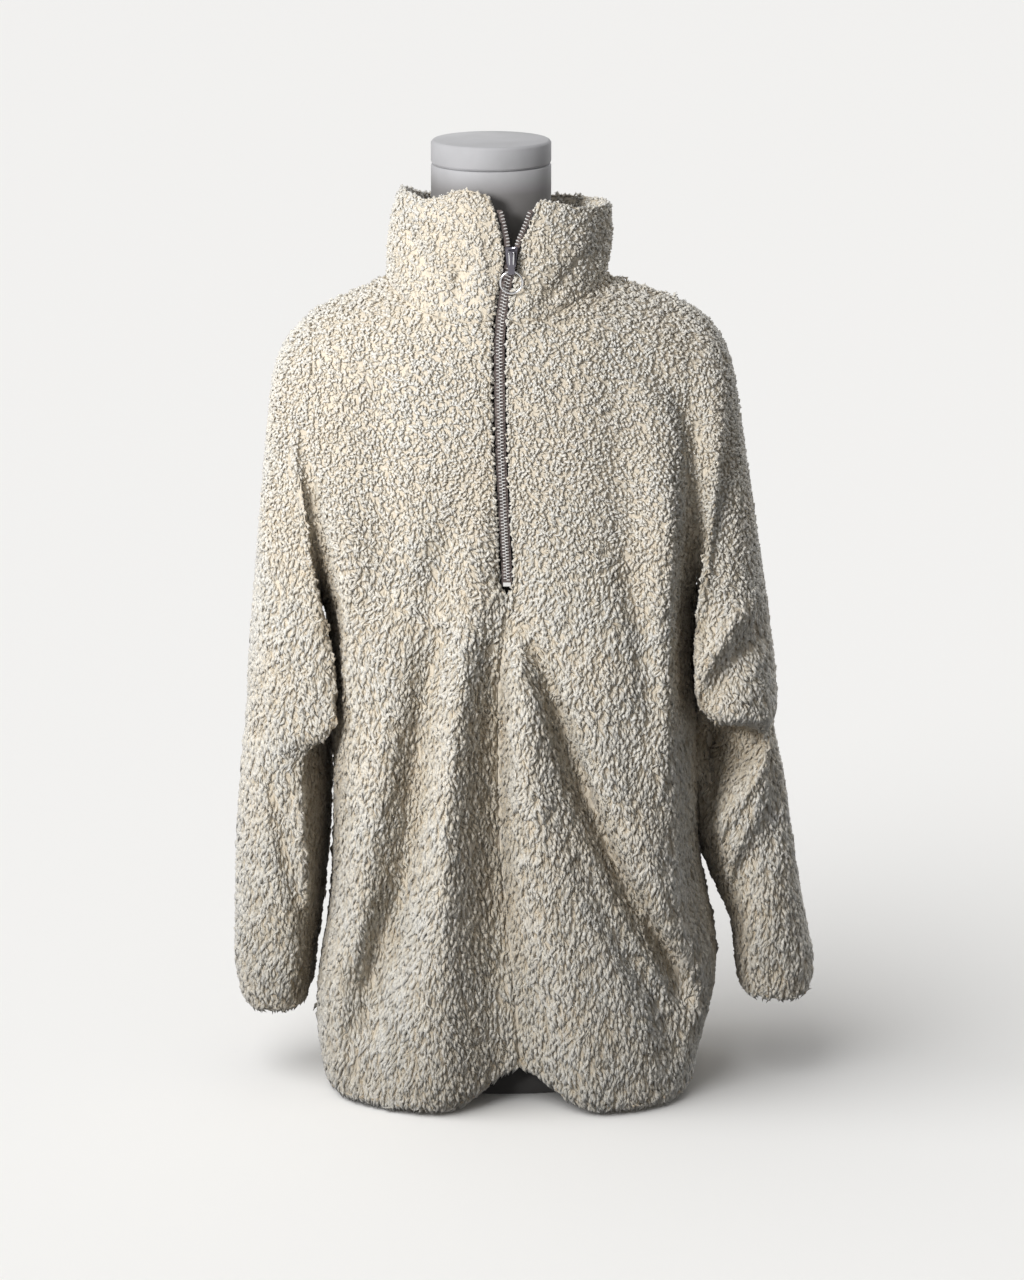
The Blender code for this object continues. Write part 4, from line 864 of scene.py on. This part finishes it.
def mesh_from_arrays(name, points, triangles, material):
    """A smooth mesh of triangles."""
    mesh = bpy.data.meshes.new(name)
    mesh.vertices.add(len(points))
    mesh.vertices.foreach_set("co", points.ravel())
    mesh.loops.add(triangles.size)
    mesh.loops.foreach_set("vertex_index", triangles.ravel().astype(np.int32))
    mesh.polygons.add(len(triangles))
    mesh.polygons.foreach_set("loop_start", np.arange(len(triangles), dtype=np.int32) * 3)
    mesh.update(calc_edges=True)
    mesh.materials.append(material)
    mesh.shade_smooth()
    return mesh


def rooted_panel(name):
    """A panel's surface, and the roots of its locks with their normals."""
    rest = bmesh.new()
    for other in CUTS:
        if other != name:
            rest.from_mesh(nodes[other].data)
    work, kind = cloth_surface(name, BVHTree.FromBMesh(rest))
    rest.free()
    return Panel(work, kind, *scatter(*pile_faces(name, work, kind)))


def dress(name, panel, painted_hollow_shade):
    """Replace a panel by its backing and its pile."""
    sink(name, panel.work, panel.kind)
    cloth = placed(mesh_of(panel.work, name + "_backing", backing))
    left = panel.points[:, 0] > 0
    parts = {"_left": left, "_right": ~left} if name == SPLIT else {"": np.full(len(left), True)}
    locks = [build_locks(f"{name}_pile{word}", panel.points[mask], panel.facing[mask], painted_hollow_shade[mask], pile)
             for word, mask in parts.items()]
    for piece in (cloth, *locks):
        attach(piece, BODY)
    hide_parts(name)


# ---------------------------------------------------------------- the zip and the form
def strip_line(name):
    """The middle of one of the frame's zip strips, as points from its lower end up."""
    points = np.array([v.co for v in nodes[name].data.vertices])
    heights = np.unique(points[:, 2].round(STRIP_DIGITS))
    return np.array([points[np.abs(points[:, 2] - z) < WELD * MM].mean(axis=0) for z in heights])


def build_teeth(side, word, material):
    """Single teeth along one strip. side is 1 on the left."""
    line = strip_line(f"zip_teeth_{word}")
    step = np.linalg.norm(np.diff(line, axis=0), axis=1)
    run = np.concatenate(([0], np.cumsum(step)))

    def on_line(at):
        return np.array([np.interp(at, run, line[:, axis]) for axis in range(3)])

    work = bmesh.new()
    for at in np.arange(FIRST_TOOTH[word] * TOOTH_PITCH * MM, run[-1] - TOOTH_TALL * MM, TOOTH_PITCH * MM):
        ahead = Vector(on_line(at + TOOTH_REACH * MM) - on_line(at - TOOTH_REACH * MM)).normalized()
        across = (Vector((1, 0, 0)) - ahead * ahead.x).normalized()
        deep = ahead.cross(across)
        made = bmesh.ops.create_cube(work, size=1.0)["verts"]
        for vertex in made:
            x, y, z = vertex.co
            head = x * side < 0  # the end that meets the other row
            x = x * TOOTH_WIDTH - side * TOOTH_SHIFT
            y *= TOOTH_DEEP * (HEAD_DEEP if head else 1.0)
            z *= TOOTH_TALL * (1.0 if head else TAIL_TALL)
            vertex.co = Vector(on_line(at)) + (across * x + deep * y + ahead * z) * MM
        edges = {e for v in made for e in v.link_edges}
        bmesh.ops.bevel(work, geom=list(edges), offset=TOOTH_EDGE * MM, segments=1, affect="EDGES")
    mesh = mesh_of(work, f"zip_teeth_{word}_single", material)
    mesh.set_sharp_from_angle(angle=radians(TOOTH_SHARP))
    piece = placed(mesh)
    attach(piece, BODY)
    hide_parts(f"zip_teeth_{word}")


def build_rounded(name, edge, material):
    """A copy of one of the frame's rigid pieces with rounded edges and without its facets."""
    work = welded(name)
    bmesh.ops.dissolve_limit(work, angle_limit=radians(FLAT_ANGLE), verts=work.verts, edges=work.edges)
    piece = placed(mesh_of(work, name + "_rounded", material))
    bevel = piece.modifiers.new("edge", "BEVEL")
    bevel.width = edge * MM
    bevel.segments = 3
    bevel.limit_method = "ANGLE"
    bevel.angle_limit = radians(EDGE_ANGLE)
    bevel.harden_normals = True
    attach(piece, BODY)
    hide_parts(name)


def build_bars(material):
    """Two rounded bars down the front of the slider's bridge."""
    low, high = (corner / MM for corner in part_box("zip_slider"))
    top = high.z - BAR_DOWN
    work = bmesh.new()
    for side in (-1, 1):
        before = None
        for k in range(BAR_STEPS + 1):
            share = k / BAR_STEPS
            swell = sin(pi * share) ** BAR_BLUNT * (1 - BAR_TIP) + BAR_TIP
            x = (low.x + high.x) / 2 + side * (BAR_APART + (share - 0.5) * BAR_LEAN)
            z = BAR_LOW + (top - BAR_LOW) * share
            ring = []
            for i in range(BAR_SIDES):
                turn = 2 * pi * i / BAR_SIDES
                out = Vector((BAR_WIDE / 2 * cos(turn), BAR_PROUD * sin(turn), 0)) * swell
                ring.append(work.verts.new((Vector((x, low.y, z)) + out) * MM))
            for i in range(BAR_SIDES if before else 0):
                j = (i + 1) % BAR_SIDES
                work.faces.new((before[i], before[j], ring[j], ring[i]))
            if k in (0, BAR_STEPS):
                work.faces.new(ring if k else ring[::-1])
            before = ring
    piece = placed(mesh_of(work, "zip_slider_bars", material))
    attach(piece, BODY)


def build_ring(material):
    """The ring pull, on the frame's own ring."""
    low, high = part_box("pull_ring")
    middle = (low + high) / 2
    wire = (high.y - low.y) / 2
    major = (high.x - low.x) / 2 - wire
    points, faces = [], []
    for i in range(RING_SEGMENTS):
        turn = 2 * pi * i / RING_SEGMENTS
        for j in range(RING_SIDES):
            tilt = 2 * pi * j / RING_SIDES
            reach = major + wire * cos(tilt)
            points.append(middle + Vector((reach * cos(turn), wire * sin(tilt), reach * sin(turn))))
            here, there = i * RING_SIDES, (i + 1) % RING_SEGMENTS * RING_SIDES
            up = (j + 1) % RING_SIDES
            faces.append((here + j, here + up, there + up, there + j))
    mesh = bpy.data.meshes.new("pull_ring_round")
    mesh.from_pydata(points, [], faces)
    mesh.materials.append(material)
    mesh.shade_smooth()
    piece = placed(mesh)
    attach(piece, PULL_BODY)
    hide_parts("pull_ring")


# ---------------------------------------------------------------- the studio
def build_floor():
    """A wide pale floor that also fills the background. It sends no light back up to the garment."""
    paper = bpy.data.materials.new("studio_paper")
    paper.use_nodes = True
    shader = paper.node_tree.nodes["Principled BSDF"]
    shader.inputs["Base Color"].default_value = FLOOR_COLOUR
    shader.inputs["Roughness"].default_value = 0.95
    mesh = bpy.data.meshes.new("studio_floor")
    signs = ((-1, -1), (1, -1), (1, 1), (-1, 1))
    mesh.from_pydata([(x * FLOOR_REACH, y * FLOOR_REACH, 0) for x, y in signs], [], [(0, 1, 2, 3)])
    mesh.materials.append(paper)
    floor = placed(mesh)
    floor.visible_diffuse = False
    return floor


def build_air():
    """Soft light from all round, stronger from above and from the wearer's right."""
    world = bpy.data.worlds.new("studio_air")
    world.use_nodes = True
    tree = world.node_tree
    way = tree.nodes.new("ShaderNodeTexCoord")
    parts = tree.nodes.new("ShaderNodeSeparateXYZ")
    tree.links.new(way.outputs["Generated"], parts.inputs["Vector"])
    strength = tree.nodes.new("ShaderNodeMath")
    strength.operation = "MULTIPLY"
    ways = (("Z", AIR_BELOW, AIR_ABOVE), ("X", AIR_RIGHT, AIR_LEFT))
    for factor, (axis, low, high) in zip(strength.inputs, ways):
        share = tree.nodes.new("ShaderNodeMapRange")
        share.interpolation_type = "SMOOTHSTEP"
        for value, socket in zip((-1.0, 1.0, low, high), ("From Min", "From Max", "To Min", "To Max")):
            share.inputs[socket].default_value = value
        tree.links.new(parts.outputs[axis], share.inputs["Value"])
        tree.links.new(share.outputs["Result"], factor)
    tree.nodes["Background"].inputs["Color"].default_value = (1.0, 1.0, 1.0, 1.0)
    tree.links.new(strength.outputs[0], tree.nodes["Background"].inputs["Strength"])
    bpy.context.scene.world = world


def place_lamp(light, location, aim, floor, state):
    """Put a lamp in its place. INCLUDE lights the floor alone, and EXCLUDE all but the floor."""
    lamp = placed(light)
    lamp.location = location
    lamp.rotation_euler = (Vector(aim) - Vector(location)).to_track_quat("-Z", "Y").to_euler()
    receivers = bpy.data.collections.new(light.name + "_lights")
    receivers.objects.link(floor)
    receivers.collection_objects[-1].light_linking.link_state = state
    lamp.light_linking.receiver_collection = receivers


def build_lamps(floor):
    """A wide lamp for the floor, and one behind and one in front for all but the floor."""
    for name, power, spread, location, aim, state in (
            ("floor_light", FLOOR_LIGHT, FLOOR_SPREAD, FLOOR_LAMP, FLOOR_AIM, "INCLUDE"),
            ("back_light", BACK_LIGHT, BACK_SPREAD, BACK_LAMP, BACK_AIM, "EXCLUDE")):
        wide = bpy.data.lights.new(name, "SUN")
        wide.energy = power
        wide.angle = radians(spread)
        place_lamp(wide, location, aim, floor, state)
    key = bpy.data.lights.new("key", "SPOT")
    key.energy = KEY_POWER
    key.color = KEY_COLOUR
    key.shadow_soft_size = KEY_SIZE
    key.spot_size = radians(KEY_CONE)
    key.spot_blend = 1.0
    place_lamp(key, KEY_LAMP, KEY_AIM, floor, "EXCLUDE")


def build_camera():
    camera = bpy.data.cameras.new("camera")
    camera.sensor_width = CAMERA_SENSOR
    camera.lens = CAMERA_LENS
    camera.clip_end = CAMERA_REACH
    holder = placed(camera)
    holder.location = CAMERA
    holder.rotation_euler = (radians(90 - CAMERA_DOWN), 0, 0)
    bpy.context.scene.camera = holder


# ---------------------------------------------------------------- the making
bpy.context.scene.view_settings.view_transform = "Standard"
build_air()
build_lamps(build_floor())
build_camera()
pile, backing = pile_material(), backing_material()
steel = metal_material("zip_steel", (0.86, 0.85, 0.84), 0.34, 0.6)
chrome = metal_material("ring_chrome", (0.80, 0.80, 0.82), 0.14)
dark_chrome = metal_material("slider_chrome", (0.20, 0.19, 0.22), 0.16)
tape, cotton = tape_material(), form_material()

zip_line = (strip_line("zip_teeth_left") + strip_line("zip_teeth_right")) / 2
panels = {name: rooted_panel(name) for name in CUTS}
painted_hollow_shades = shade_of_hollows([panel.work for panel in panels.values()],
                           np.concatenate([panel.points for panel in panels.values()]),
                           np.concatenate([panel.facing for panel in panels.values()]))
ends = np.cumsum([len(panel.points) for panel in panels.values()])
for (name, panel), painted_hollow_shade in zip(panels.items(), np.split(painted_hollow_shades, ends[:-1])):
    dress(name, panel, painted_hollow_shade)
for side, word in ((1, "left"), (-1, "right")):
    build_teeth(side, word, steel)
build_rounded("zip_slider", SLIDER_EDGE, dark_chrome)
# the bars take the bright ring chrome, lighter than the slider's dark chrome: painted highlights on its ridges
build_bars(chrome)
build_rounded("form_neck_cap", CAP_EDGE, cotton)
build_rounded("form_torso", STUB_EDGE, cotton)
build_ring(chrome)
for name, material in (("zip_tape_left", tape), ("zip_tape_right", tape), ("zip_stop", steel)):
    nodes[name].data.materials.clear()
    nodes[name].data.materials.append(material)
